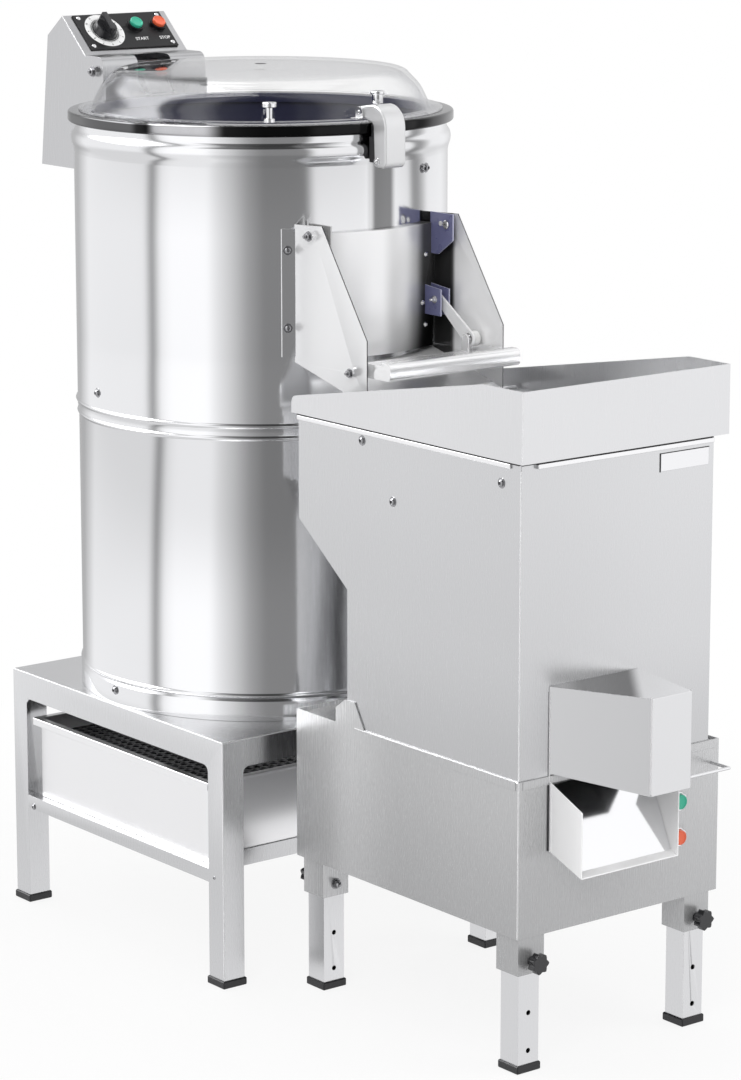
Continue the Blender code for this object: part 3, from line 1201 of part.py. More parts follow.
def make_control_box():
    wide = BOX_HALF_WIDTH
    outline = box_outline()
    shell = prism(outline, -wide, wide)
    walls = [SHEET] * (len(outline) - 2) + [0, -OVERRUN]
    shell = cut(shell, prism(inset(outline, walls), -wide + SHEET, wide - SHEET))
    holes = [(DIAL_X, DIAL_UP, DIAL_SHAFT_RADIUS), (START_X, BUTTONS_UP, BUTTON_STEM_RADIUS),
             (STOP_X, BUTTONS_UP, BUTTON_STEM_RADIUS)]
    for x, up, radius in holes:
        shell = cut(shell, on_panel(rod((x, up, -OVERRUN), (x, up, OVERRUN), radius + GAP)))
    clear = DRUM_RADIUS + GAP
    lip = SEAL_RADIUS + GAP
    bead_low = DRUM_TOP - NECK_HEIGHT - TOP_BEAD_LENGTH - OVERRUN
    profile = [(0, NOSE_BOTTOM_Z + GAP), (lip, NOSE_BOTTOM_Z + GAP), (lip, bead_low),
               (clear, bead_low), (clear, BOX_BOTTOM - OVERRUN), (0, BOX_BOTTOM - OVERRUN)]
    shell = cut(shell, turned(profile, FINE_STEPS, closed=False))
    notch = NOSE_NOTCH_HALF_WIDTH
    shell = cut(shell, box((-notch, notch), (NOSE_FRONT_Y - OVERRUN, NOSE_NOTCH_REAR_Y),
                           (NOSE_BOTTOM_Z - OVERRUN, PANEL_BOTTOM_Z + OVERRUN)))
    shell = cut(shell, rod((-wide - OVERRUN, HINGE_Y, HINGE_Z), (wide + OVERRUN, HINGE_Y, HINGE_Z),
                           HINGE_PIN_RADIUS + GAP))
    part("control_box", shell, STEEL)


def make_panel():
    frame = panel_frame()
    thick = PANEL_THICKNESS
    low = GAP
    panel = rounded(box((PANEL_LEFT_X, PANEL_RIGHT_X), (PANEL_START, PANEL_START + PANEL_LENGTH),
                        (low, low + thick)), PANEL_ROUNDING, 1)
    face = low + thick
    for x in (START_X, STOP_X):
        panel = fuse(panel, rod((x, BUTTONS_UP, face - BITE), (x, BUTTONS_UP, face + COLLAR_HEIGHT),
                                COLLAR_RADIUS, BUTTON_STEPS))
        panel = cut(panel, rod((x, BUTTONS_UP, -OVERRUN), (x, BUTTONS_UP, face + 2 * OVERRUN),
                               BUTTON_RADIUS + GAP, BUTTON_STEPS))
    panel = cut(panel, rod((DIAL_X, DIAL_UP, -OVERRUN), (DIAL_X, DIAL_UP, OVERRUN),
                           DIAL_SHAFT_RADIUS + GAP))
    part("control_panel", panel, BLACK, frame=frame)

    seat = face + GAP
    knob_top = seat + DIAL_HEIGHT
    knob = rod((0, 0, seat), (0, 0, knob_top), DIAL_SKIRT_RADIUS, BUTTON_STEPS,
               DIAL_TOP_RADIUS)
    grip = box((-DIAL_GRIP_HALF_WIDTH, DIAL_GRIP_HALF_WIDTH),
               (-DIAL_TOP_RADIUS, DIAL_SKIRT_RADIUS), (seat, knob_top + DIAL_GRIP_HEIGHT))
    knob = fuse(knob, rounded(grip, DIAL_GRIP_ROUNDING, 1))
    knob = fuse(knob, rod((0, 0, -SHEET - TIMER_DEPTH / 2), (0, 0, seat + BITE),
                          DIAL_SHAFT_RADIUS))
    knob = part("timer_knob", knob, BLACK, frame=frame)
    knob.location = (DIAL_X, DIAL_UP, 0)

    half = TIMER_SIZE / 2
    timer = box((DIAL_X - half, DIAL_X + half), (DIAL_UP - half, DIAL_UP + half),
                (-SHEET - GAP - TIMER_DEPTH, -SHEET - GAP))
    timer = cut(timer, rod((DIAL_X, DIAL_UP, -SHEET - TIMER_DEPTH / 2 - GAP),
                           (DIAL_X, DIAL_UP, OVERRUN), DIAL_SHAFT_RADIUS + GAP))
    part("timer_unit", timer, WHITE, frame=frame)

    for name, x, colour in (("start_button", START_X, GREEN), ("stop_button", STOP_X, RED)):
        cap_top = face + COLLAR_HEIGHT + BUTTON_PROUD
        cap_bottom = BUTTON_TRAVEL + 2 * GAP
        button = rod((0, 0, cap_bottom), (0, 0, cap_top), BUTTON_RADIUS, BUTTON_STEPS)
        button = fuse(button, rod((0, 0, -BUTTON_DEPTH), (0, 0, cap_bottom + BITE),
                                  BUTTON_STEM_RADIUS))
        button = part(name, button, colour, frame=frame)
        button.location = (x, BUTTONS_UP, 0)


# Discharge

def make_discharge_chute():
    inner_x = CHEEK_X - SHEET
    front = CHEEK_FRONT_Y
    rear = CHEEK_BOTTOM_REAR_Y
    behind = rear + OVERRUN * 2
    profile = [(behind, CHEEK_TOP_REAR_Z), (CHEEK_TOP_Y, CHEEK_TOP_Z), (front, CHEEK_SHOULDER_Z),
               (front, CHEEK_BOTTOM_FRONT_Z - SHEET), (rear, CHEEK_BOTTOM_REAR_Z - SHEET),
               (behind, CHEEK_BOTTOM_REAR_Z - SHEET)]
    slope = (CHEEK_BOTTOM_REAR_Z - CHEEK_BOTTOM_FRONT_Z) / (rear - front)
    end = CHUTE_FLOOR_END_Y
    end_z = CHEEK_BOTTOM_REAR_Z - slope * (rear - end)
    floor_outline = [(behind, CHEEK_BOTTOM_REAR_Z), (rear, CHEEK_BOTTOM_REAR_Z), (end, end_z),
                     (end, end_z - SHEET), (rear, CHEEK_BOTTOM_REAR_Z - SHEET),
                     (behind, CHEEK_BOTTOM_REAR_Z - SHEET)]
    chute = prism(floor_outline, -inner_x - BITE, inner_x + BITE)
    for side in (-1, 1):
        x = sorted((side * inner_x, side * CHEEK_X))
        strip = ring(DRUM_RADIUS + GAP + SHEET, DRUM_RADIUS - OVERRUN, WINDOW_BOTTOM,
                     CHEEK_FLANGE_TOP, FINE_STEPS)
        strip_x = sorted((side * (inner_x + BITE), side * CHEEK_FLANGE_X))
        strip = keep(strip, box(strip_x, (-DRUM_RADIUS - OVERRUN, 0),
                                (WINDOW_BOTTOM - OVERRUN, CHEEK_FLANGE_TOP + OVERRUN)))
        chute = fuse(chute, prism(profile, x[0], x[1]), strip)
    chute = cut(chute, round_block(DRUM_RADIUS + GAP, CHEEK_BOTTOM_FRONT_Z - OVERRUN, DRUM_TOP))
    for side in (-1, 1):
        start = side * (LUG_X - LUG_THICKNESS)
        end_x = side * (CHEEK_X + DOOR_BOLT_HEAD)
        bolt = rod((start, DOOR_PIVOT_Y, DOOR_PIVOT_Z), (end_x, DOOR_PIVOT_Y, DOOR_PIVOT_Z),
                   DOOR_BOLT_RADIUS, TINY_STEPS)
        head = rod((side * (CHEEK_X - BITE), DOOR_PIVOT_Y, DOOR_PIVOT_Z),
                   (end_x, DOOR_PIVOT_Y, DOOR_PIVOT_Z), DOOR_BOLT_HEAD_RADIUS, NUT_SIDES)
        chute = fuse(chute, fuse(bolt, head))
        rod_hole = rod((side * (inner_x - OVERRUN), TRAY_PIVOT_Y, TRAY_PIVOT_Z),
                       (side * (CHEEK_X + OVERRUN), TRAY_PIVOT_Y, TRAY_PIVOT_Z),
                       TRAY_ROD_RADIUS + GAP, TINY_STEPS)
        chute = cut(chute, rod_hole)
    part("discharge_chute", chute, STEEL)


def make_door():
    pivot = (0, DOOR_PIVOT_Y, DOOR_PIVOT_Z)
    slab = ring(DOOR_OUTER_RADIUS, DOOR_INNER_RADIUS, DOOR_BOTTOM, DOOR_TOP, FINE_STEPS)
    door = keep(slab, box((-DOOR_HALF_WIDTH, DOOR_HALF_WIDTH), (-DOOR_OUTER_RADIUS - OVERRUN, 0),
                          (DOOR_BOTTOM - OVERRUN, DOOR_TOP + OVERRUN)))
    surface = -math.sqrt(DOOR_OUTER_RADIUS ** 2 - LUG_X ** 2) + DRUM_WALL
    half = LUG_THICKNESS / 2
    lug = [(surface, LUG_TOP), (LUG_FRONT_Y, LUG_TOP), (LUG_FRONT_Y, LUG_BOTTOM),
           (LUG_TONGUE_Y, LUG_TONGUE_BOTTOM), (surface, LUG_TONGUE_BOTTOM)]
    for side in (-1, 1):
        plate = prism(lug, side * LUG_X - half, side * LUG_X + half)
        plate = cut(plate, rod((side * LUG_X - OVERRUN, *pivot[1:]),
                               (side * LUG_X + OVERRUN, *pivot[1:]),
                               DOOR_BOLT_RADIUS + GAP, TINY_STEPS))
        door = fuse(door, plate)
    ear = [(surface, CLEVIS_TOP), (CLEVIS_FRONT_Y, CLEVIS_TOP - CLEVIS_SLOPE),
           (CLEVIS_FRONT_Y, CLEVIS_BOTTOM), (surface, CLEVIS_BOTTOM)]
    for x in (CLEVIS_LEFT_X, LUG_X - half):
        door = fuse(door, prism(ear, x, x + LUG_THICKNESS))
    pin = rod((CLEVIS_LEFT_X - LUG_THICKNESS, TOGGLE_TOP_Y, TOGGLE_TOP_Z),
              (LUG_X + LUG_THICKNESS, TOGGLE_TOP_Y, TOGGLE_TOP_Z), TOGGLE_PIN_RADIUS, TINY_STEPS)
    part("discharge_door", fuse(door, pin), POLISHED, pivot)


def make_tray():
    pivot = (0, TRAY_PIVOT_Y, TRAY_PIVOT_Z)
    wide = TRAY_HALF_WIDTH
    lip_rear = TRAY_FRONT_Y + TRAY_LIP_DEPTH
    r = TRAY_LIP_ROUNDING
    low, high = TRAY_LIP_BOTTOM, TRAY_LIP_TOP
    lip = (arc((TRAY_FRONT_Y + r, high - r), r, 90, 180, LIP_STEPS)
           + arc((TRAY_FRONT_Y + r, low + r), r, 180, 270, LIP_STEPS)
           + [(lip_rear, low), (lip_rear, high)])
    tray = prism(lip, -wide, wide)
    tray = fuse(tray, box((-wide, wide), (lip_rear - BITE, TRAY_REAR_Y),
                          (TRAY_PLATE_BOTTOM, TRAY_PLATE_BOTTOM + SHEET)))
    for side in (-1, 1):
        x = sorted((side * wide, side * (wide - SHEET)))
        tray = fuse(tray, box(x, (lip_rear - BITE, TRAY_REAR_Y), (low, TRAY_SIDE_TOP)))
    tube_end = wide - BITE
    tray = fuse(tray, rod((-tube_end, *pivot[1:]), (tube_end, *pivot[1:]), TRAY_TUBE_RADIUS))
    tray = cut(tray, rod((-wide - OVERRUN, *pivot[1:]), (wide + OVERRUN, *pivot[1:]),
                         TRAY_ROD_RADIUS + GAP))
    ear = arc((TOGGLE_BOTTOM_Y, TOGGLE_BOTTOM_Z), LINK_HALF_WIDTH, 0, 180, TINY_STEPS)
    ear += [(TOGGLE_BOTTOM_Y - LINK_HALF_WIDTH, TRAY_PLATE_BOTTOM + BITE),
            (TOGGLE_BOTTOM_Y + LINK_HALF_WIDTH, TRAY_PLATE_BOTTOM + BITE)]
    tray = fuse(tray, prism(ear, EAR_X, EAR_X + LUG_THICKNESS))
    roller_x = LINK_X + LINK_THICKNESS + 2 * GAP
    pin = rod((EAR_X, TOGGLE_BOTTOM_Y, TOGGLE_BOTTOM_Z),
              (roller_x + ROLLER_LENGTH + SHEET, TOGGLE_BOTTOM_Y, TOGGLE_BOTTOM_Z),
              TOGGLE_PIN_RADIUS, TINY_STEPS)
    part("discharge_tray", fuse(tray, pin), STEEL, pivot)

    end = CHEEK_X + GAP
    bar = rod((-end - BITE, *pivot[1:]), (end + BITE, *pivot[1:]), TRAY_ROD_RADIUS)
    for side in (-1, 1):
        bar = fuse(bar, rod((side * end, *pivot[1:]), (side * (end + ROD_HEAD), *pivot[1:]),
                            ROD_HEAD_RADIUS, NUT_SIDES))
    part("tray_pivot_rod", bar, POLISHED, pivot)

    roller = rod((roller_x, TOGGLE_BOTTOM_Y, TOGGLE_BOTTOM_Z),
                 (roller_x + ROLLER_LENGTH, TOGGLE_BOTTOM_Y, TOGGLE_BOTTOM_Z), ROLLER_RADIUS)
    roller = cut(roller, rod((roller_x - OVERRUN, TOGGLE_BOTTOM_Y, TOGGLE_BOTTOM_Z),
                             (roller_x + ROLLER_LENGTH + OVERRUN, TOGGLE_BOTTOM_Y,
                              TOGGLE_BOTTOM_Z), TOGGLE_PIN_RADIUS + GAP, TINY_STEPS))
    part("link_roller", roller, WHITE, (0, TOGGLE_BOTTOM_Y, TOGGLE_BOTTOM_Z))


def make_link():
    """A flat link; its lower eye is wide, so that the door and tray turn at steady ratios."""
    top = Vector((TOGGLE_TOP_Y, TOGGLE_TOP_Z))
    low = Vector((TOGGLE_BOTTOM_Y, TOGGLE_BOTTOM_Z))
    lean = math.degrees(math.atan2(low.y - top.y, low.x - top.x))
    outline = arc(top, LINK_HALF_WIDTH, lean + 90, lean + 270, TINY_STEPS)
    outline += arc(low, LINK_END_RADIUS, lean - 90, lean + 90, TINY_STEPS)
    link = prism(outline, LINK_X, LINK_X + LINK_THICKNESS)
    for place, radius in ((top, TOGGLE_PIN_RADIUS + GAP), (low, TOGGLE_PIN_RADIUS + TOGGLE_SLOP)):
        link = cut(link, rod((LINK_X - OVERRUN, *place), (LINK_X + OVERRUN, *place), radius))
    part("toggle_link", link, STEEL, (0, *top))


# Chipping machine

def leg_places():
    for x in (LEG_LEFT_X, LEG_RIGHT_X):
        for y in (LEG_FRONT_Y, LEG_REAR_Y):
            yield x, y


def clamp_side(y):
    """The rear legs are clamped from behind and the front ones from the front."""
    return 1 if y > ROTOR_Y else -1


def make_base():
    x = (BASE_LEFT_X, BASE_RIGHT_X)
    y = (BASE_FRONT_Y, BASE_REAR_Y)
    base = box(x, y, (BASE_BOTTOM, BASE_TOP))
    inside_x = (x[0] + SHEET, x[1] - SHEET)
    inside_y = (y[0] + SHEET, y[1] - SHEET)
    base = cut(base, box(inside_x, inside_y, (DECK_TOP, BASE_TOP + OVERRUN)),
               box(inside_x, inside_y, (BASE_BOTTOM - OVERRUN, DECK_TOP - SHEET)))
    base = fuse(base, ring(BOWL_RADIUS + SHEET, BOWL_RADIUS, DECK_TOP - BITE,
                           DECK_TOP + BOWL_HEIGHT, MEDIUM_STEPS, (ROTOR_X, ROTOR_Y)))
    half = SLEEVE_SIZE / 2
    bore = LEG_SIZE / 2 + LEG_CLEARANCE
    for leg_x, leg_y in leg_places():
        base = fuse(base, box((leg_x - half, leg_x + half), (leg_y - half, leg_y + half),
                              (SLEEVE_BOTTOM, DECK_TOP - BITE)))
        base = cut(base, box((leg_x - bore, leg_x + bore), (leg_y - bore, leg_y + bore),
                             (SLEEVE_BOTTOM - OVERRUN, SLEEVE_TOP)))
        side = clamp_side(leg_y)
        base = cut(base, rod((leg_x, leg_y + side * LEG_SIZE / 2, CLAMP_Z),
                             (leg_x, leg_y + side * (half + OVERRUN), CLAMP_Z),
                             CLAMP_SCREW_RADIUS + GAP, TINY_STEPS))
    shaft_hole = rod((ROTOR_X, ROTOR_Y, DECK_TOP - OVERRUN),
                     (ROTOR_X, ROTOR_Y, DECK_TOP + OVERRUN), CUTTER_SHAFT_RADIUS + GAP,
                     MEDIUM_STEPS)
    knife_room = box((KNIFE_LEFT_X, KNIFE_RIGHT_X),
                     (ROTOR_Y - BOWL_RADIUS - SHEET - OVERRUN, ROTOR_Y), (KNIFE_BOTTOM, KNIFE_TOP))
    base = cut(base, shaft_hole, knife_room)
    ear = [(EAR_REAR_Y, BASE_TOP - OVERRUN), (EAR_REAR_Y, EAR_PIN_Z), (EAR_PIN_Y, EAR_TOP),
           (EAR_TOP_FRONT_Y, EAR_TOP), (EAR_FRONT_Y, BASE_TOP - OVERRUN)]
    for edge, side in ((x[0], 1), (HOUSING_RIGHT_X + 2 * SHEET + GAP, -1)):
        ear_x = sorted((edge, edge + side * SHEET))
        outer_ear = [(u, v if v > BASE_TOP else DECK_TOP - BITE) for u, v in ear]
        base = fuse(base, prism(outer_ear, ear_x[0], ear_x[1]))
    for z in (CUTTER_START_Z, CUTTER_STOP_Z):
        base = fuse(base, rod((CUTTER_BUTTON_X, BASE_FRONT_Y + BITE, z),
                              (CUTTER_BUTTON_X, BASE_FRONT_Y - COLLAR_HEIGHT, z),
                              CUTTER_COLLAR_RADIUS, BUTTON_STEPS))
        base = cut(base, rod((CUTTER_BUTTON_X, BASE_FRONT_Y + OVERRUN, z),
                             (CUTTER_BUTTON_X, BASE_FRONT_Y - COLLAR_HEIGHT - OVERRUN, z),
                             BUTTON_RADIUS + GAP, BUTTON_STEPS))
    part("cutter_base", base, STEEL)


def make_cutter_buttons():
    face = BASE_FRONT_Y - COLLAR_HEIGHT
    for name, z, colour in (("cutter_start_button", CUTTER_START_Z, GREEN),
                            ("cutter_stop_button", CUTTER_STOP_Z, RED)):
        button = rod((CUTTER_BUTTON_X, BASE_FRONT_Y + BUTTON_DEPTH, z),
                     (CUTTER_BUTTON_X, face - BUTTON_PROUD, z), BUTTON_RADIUS, BUTTON_STEPS)
        part(name, button, colour, (CUTTER_BUTTON_X, face, z))


def make_legs():
    half = LEG_SIZE / 2
    for number, (x, y) in enumerate(leg_places(), 1):
        bottom = FOOT_SOLE + GAP
        leg = tube_box((x - half, x + half), (y - half, y + half), (bottom, LEG_TOP), LEG_WALL)
        for hole in range(LEG_HOLE_COUNT):
            z = LEG_FIRST_HOLE + hole * LEG_HOLE_SPACING
            leg = cut(leg, rod((x, y - half - OVERRUN, z), (x, y, z), LEG_HOLE_RADIUS,
                               TINY_STEPS))
        part(f"cutter_leg_{number}", leg, STEEL, (x, y, bottom))
        make_foot(f"cutter_foot_{number}", x, y, LEG_SIZE, (x, y, 0))
        make_clamp(f"clamp_knob_{number}", x, y, clamp_side(y))


def make_clamp(name, x, y, side):
    """A star knob whose screw presses on the leg inside the sleeve."""
    tip = y + side * (LEG_SIZE / 2 + GAP)
    seat = y + side * (SLEEVE_SIZE / 2 + GAP)
    hub_end = seat + side * CLAMP_HUB_LENGTH
    end = hub_end + side * CLAMP_KNOB_LENGTH
    points = CLAMP_LOBES * CLAMP_POINTS_A_LOBE
    outline = []
    for number in range(points):
        angle = math.tau * number / points
        radius = CLAMP_KNOB_RADIUS + CLAMP_LOBE_DEPTH * math.cos(CLAMP_LOBES * angle)
        outline.append((x + radius * math.cos(angle), CLAMP_Z + radius * math.sin(angle)))
    low, high = sorted((hub_end, end))
    knob = prism(outline, low, high, "Y")
    knob = fuse(knob, rod((x, seat, CLAMP_Z), (x, hub_end + side * BITE, CLAMP_Z),
                          CLAMP_HUB_RADIUS, TINY_STEPS))
    knob = fuse(knob, rod((x, tip, CLAMP_Z), (x, seat + side * BITE, CLAMP_Z),
                          CLAMP_SCREW_RADIUS, TINY_STEPS))
    part(name, knob, BLACK, (x, seat, CLAMP_Z))


def make_housing():
    """A shell that is open at its top and bottom."""
    front, rear, waist = HOUSING_FRONT_Y, HOUSING_REAR_Y, HOUSING_WAIST_Y
    outline = [(front, HOUSING_BOTTOM), (front, HOUSING_TOP), (rear, HOUSING_TOP),
               (rear, HOUSING_CHAMFER_TOP), (waist, HOUSING_CHAMFER_BOTTOM),
               (waist, HOUSING_BOTTOM)]
    walls = [SHEET, -OVERRUN, SHEET, SHEET, SHEET, -OVERRUN]
    shell = prism(outline, HOUSING_LEFT_X, HOUSING_RIGHT_X)
    shell = cut(shell, prism(inset(outline, walls), HOUSING_LEFT_X + SHEET,
                             HOUSING_RIGHT_X - SHEET))
    shell = cut(shell, box((KNIFE_LEFT_X - GAP, KNIFE_RIGHT_X + GAP),
                           (HOUSING_FRONT_Y - OVERRUN, HOUSING_FRONT_Y + OVERRUN),
                           (KNIFE_BOTTOM - GAP, KNIFE_TOP + GAP)))
    part("cutter_housing", shell, STEEL)


def make_hopper():
    x = (HOPPER_LEFT_X, HOPPER_RIGHT_X)
    y = (HOPPER_FRONT_Y, HOPPER_REAR_Y)
    low = HOPPER_BOTTOM
    deck = low + HOPPER_BASE_THICKNESS
    r = HOPPER_REAR_ROUNDING
    side_view = [(y[1], low), (y[1], HOPPER_REAR_TOP - r)]
    side_view += arc((y[1] - r, HOPPER_REAR_TOP - r), r, 0, 90, LIP_STEPS)[1:]
    side_view += [(HOPPER_LEVEL_Y, HOPPER_TOP), (y[0], HOPPER_TOP), (y[0], low)]
    walls = prism(side_view, x[0], x[1])
    walls = cut(walls, box((x[0] + SHEET, x[1] - SHEET), (y[0] + SHEET, y[1] + OVERRUN),
                           (deck, HOPPER_TOP + OVERRUN)))
    rim = HOPPER_RIM
    left, right = HOUSING_LEFT_X + rim, HOUSING_RIGHT_X - rim
    front, rear = HOUSING_FRONT_Y + rim, HOUSING_REAR_Y - rim
    walls = cut(walls, box((left, right), (front, rear), (low - OVERRUN, deck + OVERRUN)))
    part("cutter_hopper", fuse(walls, funnel((left, right), (front, rear), deck)), STEEL)


def funnel(x, y, top):
    """Four sloping sheets from the hopper's floor down to the throat."""
    bm = bmesh.new()
    bmesh.ops.create_cube(bm, size=1.0)
    caps = [face for face in bm.faces if abs(face.normal.z) > 0.5]
    bmesh.ops.delete(bm, geom=caps, context="FACES_ONLY")
    for vertex in bm.verts:
        upper = vertex.co.z > 0
        right = vertex.co.x > 0
        behind = vertex.co.y > 0
        if upper:
            vertex.co = (x[right], y[behind], top)
        else:
            reach = THROAT_HALF_WIDTH if right else -THROAT_HALF_WIDTH
            vertex.co = (reach, THROAT_REAR_Y if behind else THROAT_FRONT_Y, THROAT_Z)
    mesh = bpy.data.meshes.new("funnel")
    bm.to_mesh(mesh)
    bm.free()
    thing = bpy.data.objects.new("shape", mesh)
    WORK.objects.link(thing)
    skin = thing.modifiers.new("wall", "SOLIDIFY")
    skin.thickness = SHEET
    skin.offset = 1
    skin.use_even_offset = True
    return settle(thing)


def hood_body(wall):
    """The hood's outer block, or with a wall the space inside it, open behind and below."""
    past = -OVERRUN if wall else 0
    rear = HOUSING_FRONT_Y - GAP
    plan = [(HOOD_LEFT_X, rear), (HOOD_CORNER_X, HOOD_FRONT_Y), (HOOD_RIGHT_X, HOOD_FRONT_Y),
            (HOOD_RIGHT_X, rear)]
    side = [(rear, HOOD_TOP_REAR), (HOOD_FRONT_Y, HOOD_TOP_FRONT),
            (HOOD_FRONT_Y, HOOD_BOTTOM_FRONT), (rear, HOOD_BOTTOM_REAR)]
    block = prism(inset(plan, [wall, wall, wall, past]), HOOD_BOTTOM_FRONT - OVERRUN,
                  HOOD_TOP_REAR + OVERRUN, "Z")
    return keep(block, prism(inset(side, [wall, past, past, past]), HOOD_LEFT_X - OVERRUN,
                             HOOD_RIGHT_X + OVERRUN))


def make_outlet():
    part("outlet_hood", cut(hood_body(0), hood_body(SHEET)), STEEL)
    back = BASE_FRONT_Y - GAP
    side_view = [(back, CHUTE_BACK_BOTTOM), (back, CHUTE_BACK_TOP),
                 (CHUTE_FRONT_Y, CHUTE_FRONT_TOP), (CHUTE_FRONT_Y, CHUTE_FRONT_BOTTOM)]
    trough = inset(side_view, [-OVERRUN, -OVERRUN, -OVERRUN, SHEET])
    chute = prism(side_view, CHUTE_LEFT_X, CHUTE_RIGHT_X)
    chute = cut(chute, prism(trough, CHUTE_LEFT_X + SHEET, CHUTE_RIGHT_X - SHEET))
    part("outlet_chute", chute, POLISHED)


def make_works():
    centre = (ROTOR_X, ROTOR_Y)
    low = DECK_TOP + ROTOR_LIFT
    top = low + ROTOR_DISC_THICKNESS
    hub_top = top + ROTOR_PADDLE_HEIGHT
    bore = CUTTER_SHAFT_RADIUS + GAP
    shaft_top = hub_top - ROTOR_CAP
    profile = [(0, hub_top), (ROTOR_HUB_RADIUS, hub_top), (ROTOR_HUB_RADIUS, top),
               (ROTOR_RADIUS, top), (ROTOR_RADIUS, low), (bore, low), (bore, shaft_top + GAP),
               (0, shaft_top + GAP)]
    rotor = turned(profile, MEDIUM_STEPS, centre, closed=False)
    for number in range(ROTOR_PADDLE_COUNT):
        paddle = box((ROTOR_HUB_RADIUS - ROTOR_PADDLE_INSET, ROTOR_RADIUS - ROTOR_PADDLE_INSET),
                     (-ROTOR_PADDLE_THICKNESS / 2, ROTOR_PADDLE_THICKNESS / 2),
                     (top - BITE, hub_top - ROTOR_PADDLE_DROP))
        turn = Matrix.Rotation(math.tau * number / ROTOR_PADDLE_COUNT, 4, "Z")
        paddle.data.transform(Matrix.Translation((*centre, 0)) @ turn)
        rotor = fuse(rotor, paddle)
    part("cutter_rotor", rotor, ALUMINIUM, (*centre, low))

    motor_top = DECK_TOP - SHEET - GAP
    profile = [(0, shaft_top), (CUTTER_SHAFT_RADIUS, shaft_top), (CUTTER_SHAFT_RADIUS, motor_top),
               (CUTTER_MOTOR_RADIUS, motor_top),
               (CUTTER_MOTOR_RADIUS, motor_top - CUTTER_MOTOR_HEIGHT),
               (0, motor_top - CUTTER_MOTOR_HEIGHT)]
    part("cutter_motor", turned(profile, MEDIUM_STEPS, centre, closed=False), ALUMINIUM)

    x = (KNIFE_LEFT_X + GAP, KNIFE_RIGHT_X - GAP)
    z = (KNIFE_BOTTOM + GAP, KNIFE_TOP - GAP)
    rear = HOUSING_FRONT_Y + SHEET
    outline = [(x[0], z[0]), (x[1], z[0]), (x[1], z[1]), (x[0], z[1])]
    wide = (x[1] - x[0] - 2 * KNIFE_FRAME + KNIFE_BLADE) / KNIFE_COLUMNS
    tall = (z[1] - z[0] - 2 * KNIFE_FRAME + KNIFE_BLADE) / KNIFE_ROWS
    holes = []
    for column in range(KNIFE_COLUMNS):
        for row in range(KNIFE_ROWS):
            left = x[0] + KNIFE_FRAME + column * wide
            foot = z[0] + KNIFE_FRAME + row * tall
            right, head = left + wide - KNIFE_BLADE, foot + tall - KNIFE_BLADE
            holes.append([(left, foot), (right, foot), (right, head), (left, head)])
    grid = prism(outline, rear - KNIFE_THICKNESS, rear, "Y", holes)
    part("knife_grid", grid, POLISHED)


clear_scene()
WORK = new_collection("working_shapes")
PARTS = new_collection("potato_peeling_machine")
ROOT = bpy.data.objects.new("machine_frame", None)
PARTS.objects.link(ROOT)
ROOT.location = (0, -MIDDLE_Y, 0)

make_stand()
make_stand_feet()
make_drawer()
make_lower_drum()
make_upper_drum()
make_seal()
make_chamber()
make_disc()
make_drive()
make_water()
make_lid()
make_lid_hinge()
make_latch()
make_control_box()
make_panel()
make_discharge_chute()
make_door()
make_tray()
make_link()
make_base()
make_cutter_buttons()
make_legs()
make_housing()
make_hopper()
make_outlet()
make_works()
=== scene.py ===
import json
from math import asin, atan2, cos, degrees, pi, radians, sin, sqrt, tau

import bmesh
import bpy
from mathutils import Matrix, Vector


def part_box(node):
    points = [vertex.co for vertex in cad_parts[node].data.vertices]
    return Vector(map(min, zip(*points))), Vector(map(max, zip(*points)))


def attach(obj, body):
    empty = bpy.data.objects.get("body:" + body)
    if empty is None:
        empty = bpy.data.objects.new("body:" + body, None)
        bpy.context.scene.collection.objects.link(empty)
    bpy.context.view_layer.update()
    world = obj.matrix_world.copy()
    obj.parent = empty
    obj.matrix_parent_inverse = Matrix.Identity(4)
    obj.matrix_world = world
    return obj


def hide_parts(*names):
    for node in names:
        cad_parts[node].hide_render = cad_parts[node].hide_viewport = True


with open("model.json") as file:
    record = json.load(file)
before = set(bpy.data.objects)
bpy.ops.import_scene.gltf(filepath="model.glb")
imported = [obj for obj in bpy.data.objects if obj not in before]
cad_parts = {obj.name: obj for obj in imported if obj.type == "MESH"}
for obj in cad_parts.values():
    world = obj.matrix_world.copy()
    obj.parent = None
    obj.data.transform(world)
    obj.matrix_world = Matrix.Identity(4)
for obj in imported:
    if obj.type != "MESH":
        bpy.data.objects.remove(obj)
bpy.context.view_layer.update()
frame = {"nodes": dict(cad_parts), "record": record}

BODY_OF = {node: body for body, nodes in frame["record"]["behaviour"]["bodies"].items()
           for node in nodes}
SLOT_OF = {part["node"]: part["material_slot"] for part in frame["record"]["subparts"]}

# Lengths are in metres; y is counted from the drum's axis, and at() adds where the axis lies
SEAL_LOW, SEAL_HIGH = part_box("rim_seal")
AXIS_Y = (SEAL_LOW.y + SEAL_HIGH.y) / 2
SHEET = 0.002
GAP = 0.0003
ROUND_STEPS = 192
SMALL_STEPS = 24
ROD_STEPS = 12
HEX = 6

DRUM_RADIUS = 0.3055
LOWER_RADIUS = 0.3035
RING_RADIUS = 0.306
NECK_RADIUS = 0.3005
DRUM_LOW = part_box("lower_drum_shell")[0].z
SEAM_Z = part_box("upper_drum_shell")[0].z
DRUM_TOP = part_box("upper_drum_shell")[1].z
RING_TOP = DRUM_LOW + 0.036
WINDOW_HALF_WIDTH = 0.115
WINDOW_LOW = 0.995
WINDOW_TOP = 1.175

shift = Matrix.Translation


def at(x, y, z):
    return Vector((x, y + AXIS_Y, z))


DRUM_AXIS = shift(at(0, 0, 0))

# Materials

